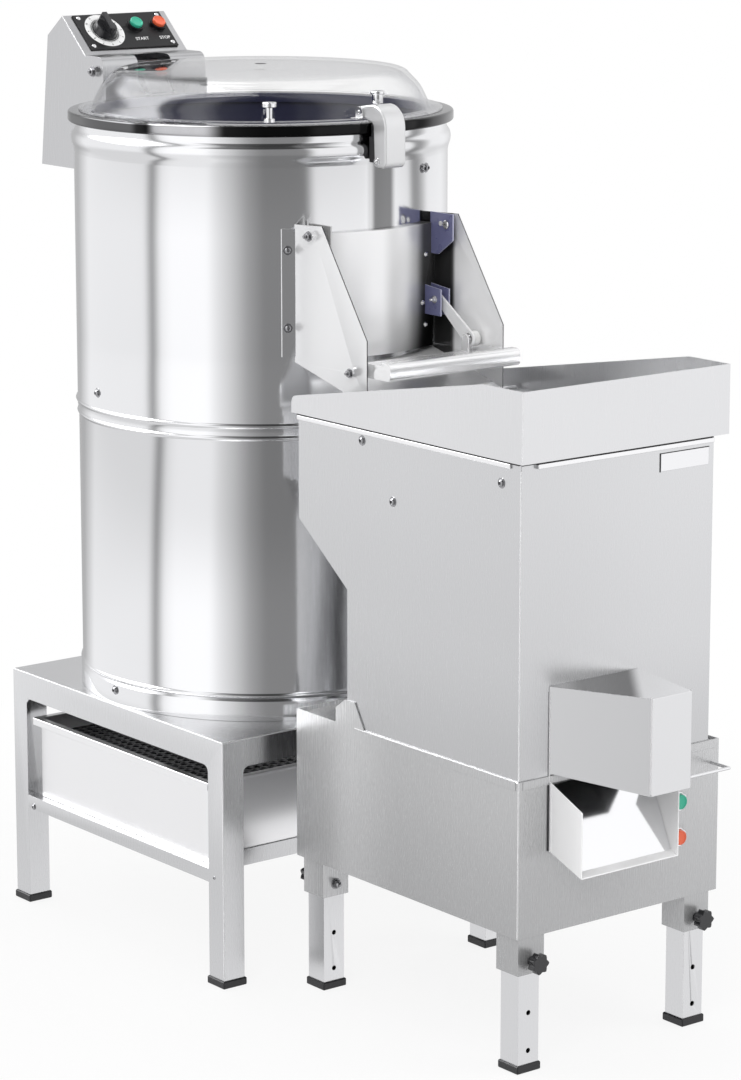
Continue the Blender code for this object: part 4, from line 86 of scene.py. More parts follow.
def join(tree, value, socket):
    """Links an output to a socket, or sets the socket to a number, direction or colour."""
    if isinstance(value, bpy.types.NodeSocket):
        tree.links.new(value, socket)
    elif socket.type == "RGBA":
        socket.default_value = (*value, 1)
    else:
        socket.default_value = value


def feed(tree, made, *values):
    """Sets or links a node's inputs in their order, and gives its outputs."""
    for value, socket in zip(values, made.inputs):
        join(tree, value, socket)
    return made.outputs


def fill(tree, made, inputs):
    """Sets or links a node's inputs by name, and gives its outputs."""
    for name, value in inputs.items():
        join(tree, value, made.inputs[name.replace("_", " ")])
    return made.outputs


def node(tree, kind, **inputs):
    return fill(tree, tree.nodes.new("ShaderNode" + kind), inputs)


def maths(tree, operation, *values, kind="Math"):
    made = tree.nodes.new("ShaderNode" + kind)
    made.operation = operation
    return feed(tree, made, *values)["Value"]


def ranged(tree, value, start, end, new_start=0, new_end=1, kind="LINEAR"):
    """Maps one range to another, and holds its ends."""
    made = tree.nodes.new("ShaderNodeMapRange")
    made.interpolation_type = kind
    return feed(tree, made, value, start, end, new_start, new_end)["Result"]


def ramped(tree, share, stops, kind="LINEAR"):
    """Colours laid along a share, each stop a position and a colour or grey level."""
    made = tree.nodes.new("ShaderNodeValToRGB")
    made.color_ramp.interpolation = kind
    marks = made.color_ramp.elements
    for number, (position, colour) in enumerate(stops):
        mark = marks[number] if number < 2 else marks.new(position)
        mark.position = position
        mark.color = (*colour, 1) if isinstance(colour, tuple) else (colour,) * 3 + (1,)
    return feed(tree, made, share)["Color"]


def mixed(tree, factor, first, second, kind="MIX"):
    """Two colours mixed by a factor."""
    made = tree.nodes.new("ShaderNodeMix")
    made.data_type = "RGBA"
    made.blend_type = kind
    join(tree, factor, made.inputs["Factor"])
    for colour, socket in zip((first, second), [way for way in made.inputs if way.type == "RGBA"]):
        join(tree, colour, socket)
    return next(way for way in made.outputs if way.type == "RGBA")


def new_material(name, colour, roughness, metallic=0, **inputs):
    material = bpy.data.materials.new(name)
    material.use_nodes = True
    tree = material.node_tree
    shader = tree.nodes["Principled BSDF"]
    fill(tree, shader, {"Base Color": colour, "Roughness": roughness, "Metallic": metallic,
                        **inputs})
    return material, tree, shader


def grain(tree, stretch, detail=4):
    """Noise in the part's own coordinates, drawn out along one direction."""
    place = node(tree, "TexCoord")["Object"]
    scaled = node(tree, "Mapping", Vector=place, Scale=stretch)["Vector"]
    return node(tree, "TexNoise", Vector=scaled, Scale=1, Detail=detail,
                Roughness=0.55)["Fac"]


def spread(tree, shader, noise, low, high):
    """Varies a shader's roughness by a noise."""
    join(tree, ranged(tree, noise, 0.3, 0.7, low, high), shader.inputs["Roughness"])


def recolour(tree, shader, factor, second, kind="MIX"):
    """Mixes a second colour into what a shader's colour already comes from."""
    socket = shader.inputs["Base Color"]
    join(tree, mixed(tree, factor, socket.links[0].from_socket, second, kind), socket)


def tint(tree, shader, noise, dark, light):
    """Colours a shader by a noise."""
    join(tree, mixed(tree, noise, dark, light), shader.inputs["Base Color"])


def bump(tree, shader, noise, strength, distance):
    normal = node(tree, "Bump", Strength=strength, Distance=distance, Height=noise)
    join(tree, normal["Normal"], shader.inputs["Normal"])


def shade(colour, factor):
    return tuple(channel * factor for channel in colour)


def along(tree, direction, low, high, stops):
    """Grey levels laid along a direction of the part, from low to high, for painted shade and
    painted reflections.
    """
    place = node(tree, "TexCoord")["Object"]
    measure = maths(tree, "DOT_PRODUCT", place, direction, kind="VectorMath")
    return ramped(tree, ranged(tree, measure, low, high), stops, "EASE")


# How the grain of a sheet is drawn out
VERTICAL = (1500, 1500, 16)
ALONG_X = (16, 1500, 1500)
ALL_ROUND = (40, 40, 1400)


def brushed(name, colour, roughness, vary=0.03, depth=0.00002, strength=0.012, painted_shades=(),
            metal=1, stretch=VERTICAL, **inputs):
    """Sheet metal with a fine grain along one direction and slow, faint clouds, and any painted
    shade laid along directions of the part.
    """
    material, tree, shader = new_material(name, colour, roughness, metal, **inputs)
    clouds = grain(tree, (3, 3, 2.2), 2)
    tint(tree, shader, clouds, shade(colour, 1 - vary), shade(colour, 1 + vary))
    # Painted shade and painted reflections: each entry darkens the colour along a direction of the
    # part
    for levels in painted_shades:
        recolour(tree, shader, 1, along(tree, *levels), "MULTIPLY")
    lines = grain(tree, stretch, 3)
    spread(tree, shader, lines, roughness * 0.97, roughness * 1.03)
    bump(tree, shader, lines, strength, depth)
    return material


# Directions in the part: across is the one that runs from left to right in the photo
UP = (0, 0, 1)
RIGHT = (1, 0, 0)
BACK = (0, 1, 0)
ACROSS = (0.787, -0.617, 0)
DOOR_CORNER = (0.83, 0, -0.55)
# Painted shade on the stand: darker from the floor up to about half its height
STAND_SHADE_LEVELS = (UP, 0, 0.404, ((0, 0.86), (1, 1), (0.45, 0.82), (0.88, 0.98)))

# Painted shade on the housing: darker towards the bottom and on the left
HOUSING_STEEL = brushed("housing_steel", (0.76, 0.763, 0.772), 0.27, 0.02, painted_shades=(
    (UP, 0.2, 0.92, ((0, 0.7), (1, 0.94), (0.16, 0.74), (0.33, 0.8), (0.62, 0.9))),
    (RIGHT, -0.19, 0.19, ((0, 0.93), (1, 1)))))
# Painted shade on the base: darker towards the bottom, on the left and towards the front
BASE_STEEL = brushed("base_steel", (0.845, 0.848, 0.856), 0.27, 0.02, painted_shades=(
    (UP, 0.2, 0.46, ((0, 0.84), (1, 1))),
    (RIGHT, -0.19, 0.19, ((0, 0.88), (1, 1))),
    (BACK, -0.6, -0.13, ((0, 0.72), (1, 1), (0.5, 0.68)))), metal=0.55)
# The stand's steel carries that painted shade; the front copy also darkens to the right of the
# front left leg, a painted shade
STAND_STEEL = brushed("stand_steel", (0.8, 0.803, 0.812), 0.27, painted_shades=(STAND_SHADE_LEVELS,))
STAND_FRONT_STEEL = brushed("stand_front_steel", (0.8, 0.803, 0.812), 0.27, painted_shades=(
    STAND_SHADE_LEVELS,
    (RIGHT, -0.27, -0.17, ((0, 1), (1, 0.34), (0.22, 0.86), (0.55, 0.4)))))
PALE_SATIN = brushed("pale_satin_steel", (0.76, 0.762, 0.77), 0.28)
WHITE_STEEL = brushed("white_steel", (0.94, 0.94, 0.945), 0.3, 0.02)
CHEEK_STEEL = brushed("cheek_steel", (0.88, 0.882, 0.89), 0.24, 0.02, metal=0.4)
# The cheeks' inner faces: a lighter copy of the cheek steel as painted light, turning black close
# to the drum as a painted shadow
CHEEK_INSIDE = brushed("cheek_inside", (0.98, 0.98, 0.985), 0.26, 0.02, painted_shades=(
    (BACK, -0.14, -0.07, ((0, 1), (1, 0.03), (0.78, 0.92), (0.93, 0.06))),), metal=0.3)
CHUTE_STEEL = brushed("chute_steel", (0.98, 0.98, 0.985), 0.24, 0.01, 0.00001, 0.03,
                      metal=0.15)
# Painted highlight: near-white steel for thin lines along rounded edges and the outlet chute's
# flange
EDGE = brushed("edge_highlight", (0.96, 0.96, 0.965), 0.55, 0.02, stretch=(400, 400, 400))
BOX_STEEL = brushed("box_steel", (0.56, 0.562, 0.57), 0.28)
# Near-black steel; on the drawer's sieve and on the cheeks' edges by the door it is painted shade
DARK_SATIN = brushed("shaded_satin_steel", (0.09, 0.09, 0.095), 0.34, 0.05, stretch=ALONG_X)
# Painted reflection: a dark vertical band down the drum just right of its middle, which shows on
# its back as well
DRUM_STEEL = brushed("drum_steel", (0.8, 0.803, 0.812), 0.12, 0.02, 0.00001, 0.05, (
    (RIGHT, -0.02, 0.06, ((0, 1), (1, 1), (0.1, 0.8), (0.24, 0.25), (0.6, 0.28),
                            (0.78, 1))),))
# Painted reflections and shade on the door: light and dark bands across it, darkest at its right
# end, and a painted shade in its lower right corner
DOOR_STEEL = brushed("door_steel", (0.93, 0.93, 0.935), 0.3, 0.01, 0.00001, 0.04, (
    (RIGHT, -0.127, 0.127, ((0, 0.62), (1, 0.16), (0.28, 1), (0.5, 0.97), (0.6, 0.8),
                            (0.72, 0.98), (0.8, 0.8), (0.9, 0.14))),
    (DOOR_CORNER, -0.548, -0.46, ((0, 1), (1, 0.05)))), 0.55, Specular_IOR_Level=0.12)
TRAY_STEEL = brushed("tray_steel", (0.93, 0.93, 0.935), 0.2, 0.02, 0.00001, 0.05, metal=0.6,
                     stretch=ALONG_X)
BRIGHT = brushed("bright_steel", (0.84, 0.84, 0.85), 0.12, 0.03, stretch=ALL_ROUND)
BOLT_STEEL = brushed("bolt_steel", (0.36, 0.36, 0.37), 0.16, 0.05, stretch=ALL_ROUND)
MIRROR = brushed("mirror_steel", (0.86, 0.862, 0.87), 0.09, 0.02, 0.00001, 0.05)
ALUMINIUM = brushed("satin_aluminium", (0.75, 0.752, 0.758), 0.36, 0.03, metal=0.6,
                    stretch=(300, 300, 300))
LINK_STEEL = brushed("link_steel", (0.93, 0.93, 0.935), 0.3, 0.02, metal=0.2)
IRON = brushed("cast_iron", (0.2, 0.2, 0.21), 0.55, 0.1, 0.0002, 0.4,
               stretch=(220, 220, 220))


def plastic(name, colour, roughness, coat=0, pebble=260, strength=0.06):
    """Moulded plastic or rubber with a fine pebbled surface."""
    material, tree, shader = new_material(name, colour, roughness, Coat_Weight=coat)
    fine = grain(tree, (pebble, pebble, pebble), 3)
    tint(tree, shader, fine, shade(colour, 0.92), shade(colour, 1.06))
    spread(tree, shader, fine, roughness * 0.9, roughness * 1.15)
    bump(tree, shader, fine, strength, 0.0001)
    return material


FOOT_RUBBER = plastic("foot_rubber", (0.018, 0.018, 0.02), 0.42)
BLACK = plastic("black_plastic", (0.01, 0.01, 0.012), 0.22, 0.4)
PANEL_BLACK = plastic("panel_black", (0.004, 0.004, 0.005), 0.34)
GREEN = plastic("green_plastic", (0.035, 0.46, 0.3), 0.32, 0.2)
RED = plastic("red_plastic", (0.86, 0.14, 0.055), 0.32, 0.2)
WHITE = plastic("white_plastic", (0.84, 0.84, 0.83), 0.38)
PRINT_WHITE = plastic("printed_white", (0.86, 0.86, 0.86), 0.45)
PRINT_BLACK = plastic("printed_black", (0.015, 0.015, 0.016), 0.45)
FILM = plastic("blue_film", (0.15, 0.155, 0.29), 0.28, 0.3, 40)
# A lighter copy of the blue film for the lug's edge faces, a painted highlight
FILM_HIGHLIGHT = plastic("blue_film_highlight", (0.46, 0.47, 0.62), 0.3, 0.2, 40)
LINER_EDGE = plastic("liner_edge", (0.022, 0.024, 0.066), 0.55, 0, 60)
GRIT = plastic("abrasive_grit", (0.05, 0.05, 0.06), 0.85, 0, 700, 0.9)


def make_liner_material():
    """Dark blue lining with bright streaks that run round the chamber."""
    material, tree, shader = new_material("liner", (0.03, 0.032, 0.085), 0.4,
                                          Specular_IOR_Level=0.12)
    streaks = grain(tree, (1.6, 1.6, 120), 4)
    colours = ramped(tree, streaks, ((0.4, (0.016, 0.018, 0.05)), (0.67, (0.55, 0.56, 0.76)),
                                     (0.56, (0.048, 0.053, 0.145))))
    join(tree, colours, shader.inputs["Base Color"])
    spread(tree, shader, streaks, 0.45, 0.65)
    bump(tree, shader, streaks, 0.4, 0.0005)
    return material


def make_seal_material():
    """Polished black rubber with a painted reflection of the bright studio wall: light in one band
    on its left side, laid across the part, and near black elsewhere.
    """
    material, tree, shader = new_material("polished_rubber", (0.4, 0.4, 0.41), 0.1, 1)
    fine = grain(tree, (60, 60, 60), 2)
    tint(tree, shader, fine, (0.45, 0.45, 0.46), (0.5, 0.5, 0.51))
    spread(tree, shader, fine, 0.08, 0.13)
    # Painted reflection, multiplied into the colour
    painted_shine = along(tree, ACROSS, -0.5, 0.2, (
        (0, 0.2), (1, 0.22), (0.205, 0.26), (0.225, 0.05), (0.245, 0.05), (0.265, 1),
        (0.375, 1), (0.425, 0.035), (0.8, 0.035)))
    recolour(tree, shader, 1, painted_shine, "MULTIPLY")
    return material


def make_hood_material():
    """Pale satin steel whose top carries a painted reflection of the dark housing: dark on its
    left, bright on its right.
    """
    material, tree, shader = new_material("hood_steel", (0.86, 0.86, 0.87), 0.24, 1)
    tint(tree, shader, grain(tree, (3, 3, 3), 2), (0.76, 0.762, 0.77),
         (0.79, 0.792, 0.8))
    normal = node(tree, "NewGeometry")["Normal"]
    upward = node(tree, "SeparateXYZ", Vector=normal)["Z"]
    # Painted reflection on the top faces: dark and light bands across the part
    painted_reflection = along(tree, ACROSS, 0.3, 0.52, (
        (0, 0.45), (1, 1), (0.16, 0.22), (0.46, 0.15), (0.56, 0.92)))
    recolour(tree, shader, ranged(tree, upward, 0.8, 0.95), painted_reflection)
    spread(tree, shader, grain(tree, VERTICAL, 3), 0.2, 0.27)
    return material


def make_clear_material():
    """Thin clear plastic: faint mirror images head on, stronger ones towards its rims."""
    material, tree, shader = new_material("clear_plastic", (0.96, 0.965, 0.975), 0.03, 1)
    waves = grain(tree, (5, 5, 5), 1)
    tint(tree, shader, waves, (0.94, 0.945, 0.96), (0.97, 0.972, 0.98))
    spread(tree, shader, waves, 0.02, 0.05)
    rim = maths(tree, "POWER", node(tree, "LayerWeight", Blend=0.5)["Facing"], 5)
    join(tree, ranged(tree, rim, 0, 1, 0.045, 0.95), shader.inputs["Alpha"])
    return material


LINER = make_liner_material()
CLEAR = make_clear_material()
SEAL = make_seal_material()
HOOD = make_hood_material()

# Looks of the hidden machinery
LOOK_OF_SLOT = {"turned_steel": BRIGHT, "cast_iron": IRON, "aluminium": ALUMINIUM,
                "black_rubber": FOOT_RUBBER, "white_plastic": WHITE}


# Tools for pieces

def add_object(name, data):
    made = bpy.data.objects.new(name, data)
    bpy.context.scene.collection.objects.link(made)
    return made


def make_mesh(name, bm, look):
    mesh = bpy.data.meshes.new(name)
    bm.to_mesh(mesh)
    bm.free()
    mesh.materials.append(look)
    return mesh


def piece(name, bm, look, body="root", sharp=32, replaces=()):
    """A finished object from a bmesh, riding on its body."""
    mesh = make_mesh(name, bm, look)
    mesh.shade_smooth()
    mesh.set_sharp_from_angle(angle=radians(sharp))
    made = add_object(name, mesh)
    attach(made, body)
    if replaces:
        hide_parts(*replaces)
    return made


def soften(made, width, segments=2, angle=28):
    """Rounds the edges of a piece."""
    edge = made.modifiers.new("soft_edges", "BEVEL")
    edge.width = width
    edge.segments = segments
    edge.limit_method = "ANGLE"
    edge.angle_limit = radians(angle)
    edge.miter_outer = "MITER_ARC"
    edge.harden_normals = True


def node_mesh(name):
    """A node's own shape with its triangles joined into flat faces."""
    bm = bmesh.new()
    bm.from_mesh(frame["nodes"][name].data)
    bm.transform(frame["nodes"][name].matrix_world)
    bmesh.ops.remove_doubles(bm, verts=bm.verts, dist=0.000002)
    bmesh.ops.dissolve_limit(bm, angle_limit=radians(0.4), verts=bm.verts, edges=bm.edges)
    return bm


def refine(name, look=None, width=0.0008, segments=2, sharp=32):
    """The node's own shape with soft edges, which then stands for the node."""
    slot = SLOT_OF[name]
    made = piece(name + "_finish", node_mesh(name), look or LOOK_OF_SLOT[slot], BODY_OF[name],
                 sharp, [name])
    soften(made, width, segments)
    return made


def frame_on(origin, direction):
    """A frame at a point whose Z runs along a direction."""
    turn = Vector((0, 0, 1)).rotation_difference(Vector(direction)).to_matrix().to_4x4()
    return shift(origin) @ turn


def revolve(bm, profile, steps, place=Matrix.Identity(4), closed=True, skip=None):
    """Turns a profile of (radius, height) about the place's Z axis."""
    rings = []
    for number in range(steps):
        angle = tau * number / steps
        rings.append([bm.verts.new(place @ Vector((radius * cos(angle),
                                                   radius * sin(angle), height)))
                      for radius, height in profile])
    last = len(profile) if closed else len(profile) - 1
    faces = []
    for number in range(steps):
        near, far = rings[number], rings[(number + 1) % steps]
        for j in range(last):
            k = (j + 1) % len(profile)
            middle = (near[j].co + near[k].co + far[j].co + far[k].co) / 4
            if skip and skip(middle):
                continue
            faces.append(bm.faces.new((near[j], near[k], far[k], far[j])))
    corners = list({vertex for face in faces for vertex in face.verts})
    bmesh.ops.remove_doubles(bm, verts=corners, dist=0.0000005)
    loose = [vertex for vertex in bm.verts if not vertex.link_faces]
    bmesh.ops.delete(bm, geom=loose, context="VERTS")
    return bm


def outward(bm):
    bmesh.ops.recalc_face_normals(bm, faces=bm.faces)
    return bm


def turned(name, profile, look, body="root", steps=ROUND_STEPS,
           place=DRUM_AXIS, closed=True, sharp=32, replaces=()):
    """A piece turned from a profile of (radius, height)."""
    bm = revolve(bmesh.new(), profile, steps, place, closed)
    return piece(name, outward(bm), look, body, sharp, replaces)


def smooth_path(points, count=6):
    """Points of a smooth curve through the given ones."""
    made = []
    for i in range(len(points) - 1):
        p0 = points[max(i - 1, 0)]
        p1, p2 = points[i], points[i + 1]
        p3 = points[min(i + 2, len(points) - 1)]
        for j in range(count):
            t = j / count
            made.append(tuple(0.5 * (2 * b + (c - a) * t + (2 * a - 5 * b + 4 * c - d) * t * t
                                     + (3 * b - a - 3 * c + d) * t ** 3)
                              for a, b, c, d in zip(p0, p1, p2, p3)))
    made.append(tuple(points[-1]))
    return made


def arc(centre, radius, start, end, steps):
    """Points of an arc, its angles in degrees."""
    angles = [radians(start + (end - start) * i / steps) for i in range(steps + 1)]
    return [(centre[0] + radius * cos(a), centre[1] + radius * sin(a)) for a in angles]


def slab(bm, outline, low, high, axis="X"):
    """A flat outline made solid between two places on an axis, in the drum's coordinates."""
    order = {"X": lambda u, v, w: at(w, u, v), "Y": lambda u, v, w: at(u, w, v),
             "Z": at}[axis]
    near = [bm.verts.new(order(u, v, low)) for u, v in outline]
    far = [bm.verts.new(order(u, v, high)) for u, v in outline]
    bm.faces.new(near)
    bm.faces.new(list(reversed(far)))
    count = len(outline)
    for i in range(count):
        bm.faces.new((near[i], near[(i + 1) % count], far[(i + 1) % count], far[i]))
    return bm


def block(bm, x, y, z):
    """A box between two places on each axis."""
    slab(bm, [(x[0], y[0]), (x[1], y[0]), (x[1], y[1]), (x[0], y[1])], z[0], z[1], "Z")


def rod(bm, start, end, radius):
    """A round bar between two points."""
    length = (end - start).length
    revolve(bm, [(0, 0), (radius, 0), (radius, length), (0, length)], ROD_STEPS,
            frame_on(start, end - start), False)


def wire(bm, points, radius):
    """A round bar bent through several points, with a ball in each bend."""
    for start, end in zip(points, points[1:]):
        rod(bm, start, end, radius)
    ball = [(radius * sin(radians(a)), -radius * cos(radians(a)))
            for a in range(0, 181, 20)]
    for point in points[1:-1]:
        revolve(bm, ball, ROD_STEPS, shift(point), False)


def fillet(bm, corner, toward, radius, low, high, axis):
    """A small web that rounds an inner corner of a sheet."""
    outline = [corner, (corner[0] + toward[0] * radius, corner[1])]
    centre = (corner[0] + toward[0] * radius, corner[1] + toward[1] * radius)
    for step in range(1, 7):
        angle = radians(90 * step / 6)
        outline.append((centre[0] - toward[0] * radius * sin(angle),
                        centre[1] - toward[1] * radius * cos(angle)))
    slab(bm, outline, low, high, axis)


def several(name, add, entries, look, body="root", sharp=32):
    """One piece made of several like parts, such as blocks or bars."""
    bm = bmesh.new()
    for entry in entries:
        add(bm, *entry)
    return piece(name, outward(bm), look, body, sharp)


def hardware(name, add, entries, look, body="root", sharp=40):
    """Bolts, nuts or other bright steel parts as one piece."""
    return several(name, add, entries, look, body, sharp)


def edge_lines(name, runs, body="root"):
    """Painted highlights: thin bright lines along bent edges, each a start, an end and a radius.
    """
    return several(name, rod, runs, EDGE, body, sharp=60)


def thicken(made, thickness, offset=-1):
    skin = made.modifiers.new("thickness", "SOLIDIFY")
    skin.thickness = thickness
    skin.offset = offset


def paint(made, look, wanted):
    """Gives a second look to the faces whose middle and normal a test picks."""
    made.data.materials.append(look)
    number = len(made.data.materials) - 1
    for face in made.data.polygons:
        middle = face.center.copy()
        middle.y -= AXIS_Y
        if wanted(middle, face.normal):
            face.material_index = number


# Fasteners

LEFTWARD, RIGHTWARD, FORWARD = (-1, 0, 0), (1, 0, 0), (0, -1, 0)
THIN_WASHER = 0.0008
WASHER = 0.001


def dome_head(radius, height):
    """The profile of a domed head, from its rim to its top."""
    return [(radius * cos(radians(a)), height * sin(radians(a)))
            for a in range(0, 91, 15)]


def bolt(bm, origin, direction, radius, height, washer=True):
    """A domed screw head with a socket on a washer."""
    place = frame_on(origin, direction)
    lift = THIN_WASHER if washer else 0
    if washer:
        revolve(bm, [(0, lift), (radius * 1.35, lift), (radius * 1.45, 0), (0, 0)], SMALL_STEPS,
                place, False)
    socket = radius * 0.45
    profile = [(0, lift + height * 0.45), (socket, lift + height * 0.45), (socket, lift + height)]
    profile += [(r, lift + h) for r, h in reversed(dome_head(radius, height)) if r > socket]
    profile += [(radius, 0), (0, 0)]
    revolve(bm, profile, SMALL_STEPS, place, False)


def nut(bm, origin, direction, radius, height, stud):
    """A hexagon nut with a stud end through it, on a washer."""
    place = frame_on(origin, direction)
    revolve(bm, [(0, WASHER), (radius * 1.3, WASHER), (radius * 1.35, 0), (0, 0)], SMALL_STEPS,
            place, False)
    revolve(bm, [(0, WASHER + height), (radius * 0.86, WASHER + height),
                 (radius, WASHER + height * 0.86), (radius, WASHER), (0, WASHER)], HEX, place,
            False)
    tip = WASHER + height + stud
    revolve(bm, [(0, tip), (radius * 0.4, tip), (radius * 0.48, tip - 0.0008),
                 (radius * 0.48, height), (0, height)], SMALL_STEPS, place, False)


def cross_screw(bm, origin, direction, radius, height):
    """A flat screw head with a cross recess."""
    place = frame_on(origin, direction)
    revolve(bm, [(0, height * 0.4), (radius * 0.22, height * 0.4), (radius * 0.3, height),
                 (radius * 0.8, height), (radius, height * 0.4), (radius, 0), (0, 0)],
            SMALL_STEPS, place, False)
    for turn in (0, 90):
        arm = place @ Matrix.Rotation(radians(turn + 20), 4, "Z")
        corners = [(-0.62, -0.14), (0.62, -0.14), (0.62, 0.14), (-0.62, 0.14)]
        bm.faces.new([bm.verts.new(arm @ Vector((u * radius, v * radius, height * 1.03)))
                      for u, v in corners])


def on_drum(azimuth, z, radius):
    """A point on the drum and the direction out of it, the azimuth in degrees."""
    out = Vector((cos(radians(azimuth)), sin(radians(azimuth)), 0))
    return at(*(out * radius).xy, z), out


# Stand

STAND_X = 0.31
STAND_FRONT = -0.31
STAND_REAR = 0.297
TUBE = 0.04
APRON_LOW = 0.359
STAND_TOP = 0.404
RAIL_LOW = 0.168
WEB_RADIUS = 0.011


def make_stand():
    stand = refine("stand_frame", STAND_STEEL, 0.0012)
    # Front faces take the copy with the extra painted shade
    paint(stand, STAND_FRONT_STEEL, lambda middle, normal: normal.y < -0.9
          and middle.y < STAND_FRONT + 0.001)
    for number in range(1, 5):
        refine(f"stand_foot_{number}", FOOT_RUBBER, 0.001)
        refine(f"cutter_foot_{number}", FOOT_RUBBER, 0.001)
    webs = [((y, APRON_LOW), (turn, -1), WEB_RADIUS, low, low + SHEET, "X")
            for low in (-STAND_X, STAND_X - SHEET)
            for y, turn in ((STAND_FRONT + TUBE, 1), (STAND_REAR - TUBE, -1))]
    webs += [((x, APRON_LOW), (turn, -1), WEB_RADIUS, low, low + SHEET, "Y")
             for x, turn in ((-STAND_X + TUBE, 1), (STAND_X - TUBE, -1))
             for low in (STAND_FRONT, STAND_REAR - SHEET)]
    several("stand_corner_webs", fillet, webs, STAND_STEEL, sharp=50)

    # Painted highlights along the stand's front edges
    inset, radius = 0.001, 0.0012
    side, front, top = -STAND_X + inset, STAND_FRONT + inset, STAND_TOP - inset
    corner = at(side, front, top)
    edge_lines("stand_edge_lines", ((at(side, front, 0.016), corner, radius),
                                    (corner, at(side, STAND_REAR - inset, top), radius),
                                    (corner, at(STAND_X - inset, front, top), radius)))
    hardware("stand_bolts", bolt, (
        (at(-STAND_X, 0.24, RAIL_LOW + 0.005), LEFTWARD, 0.004, 0.0025),
        (at(-STAND_X, -0.285, RAIL_LOW + 0.01), LEFTWARD, 0.003, 0.0012, False)), BOLT_STEEL)


def make_drawer():
    """Drawer with a bright front and lip, and the perforated sieve in it, near-black as painted
    shade.
    """
    refine("peel_drawer", WHITE_STEEL)
    hem = several("drawer_lip_hem", block, [
        ((-0.307, -0.304), (-0.264, 0.243), (0.3155, 0.3278))], WHITE_STEEL, "drawer")
    soften(hem, 0.001)
    low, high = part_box("drawer_sieve")
    columns, rows, corners = 34, 28, 12
    step_x = (high.x - low.x) / columns
    step_y = (high.y - low.y) / rows
    hole = min(step_x, step_y) * 0.3
    bm = bmesh.new()
    for i in range(columns):
        for j in range(rows):
            centre = Vector((low.x + step_x * (i + 0.5), low.y + step_y * (j + 0.5), high.z))
            inner, outer = [], []
            for k in range(corners):
                angle = tau * (k + 0.5) / corners
                out = Vector((cos(angle), sin(angle), 0))
                reach = min(step_x / 2 / max(abs(out.x), 0.001),
                            step_y / 2 / max(abs(out.y), 0.001))
                inner.append(bm.verts.new(centre + out * hole))
                outer.append(bm.verts.new(centre + out * reach))
            for k in range(corners):
                m = (k + 1) % corners
                bm.faces.new((inner[k], outer[k], outer[m], inner[m]))
    bmesh.ops.remove_doubles(bm, verts=bm.verts, dist=0.00001)
    sieve = piece("drawer_sieve_finish", outward(bm), DARK_SATIN, "drawer", 32,
                  ["drawer_sieve"])
    thicken(sieve, SHEET)


# Drum

def bead(radius, middle, half=0.005, height=0.003, count=8):
    """A raised bead on a drum, from top to bottom."""
    return [(radius + height * (1 + cos(pi * (2 * i / count - 1))) / 2,
             middle + half - 2 * half * i / count) for i in range(count + 1)]


def in_window(point):
    """True in the opening that the discharge door closes."""
    return (abs(point.x) < WINDOW_HALF_WIDTH and point.y < AXIS_Y
            and WINDOW_LOW < point.z < WINDOW_TOP)


def leans_out(bm):
    """True if a turned sheet's faces point away from the drum's axis."""
    centre = at(0, 0, 0).xy
    return sum((face.calc_center_median().xy - centre).dot(face.normal.xy)
               for face in bm.faces) > 0


def drum_sheet(name, profile, skip=None):
    """A rolled sheet that stands for a node, its profile on the outer side."""
    bm = outward(revolve(bmesh.new(), profile, ROUND_STEPS, DRUM_AXIS, False, skip=skip))
    if not leans_out(bm):
        bmesh.ops.reverse_faces(bm, faces=bm.faces)
    made = piece(name + "_finish", bm, DRUM_STEEL, "root", 60, [name])
    thicken(made, SHEET)
    split = made.modifiers.new("sharp_rims", "EDGE_SPLIT")
    split.split_angle = radians(50)


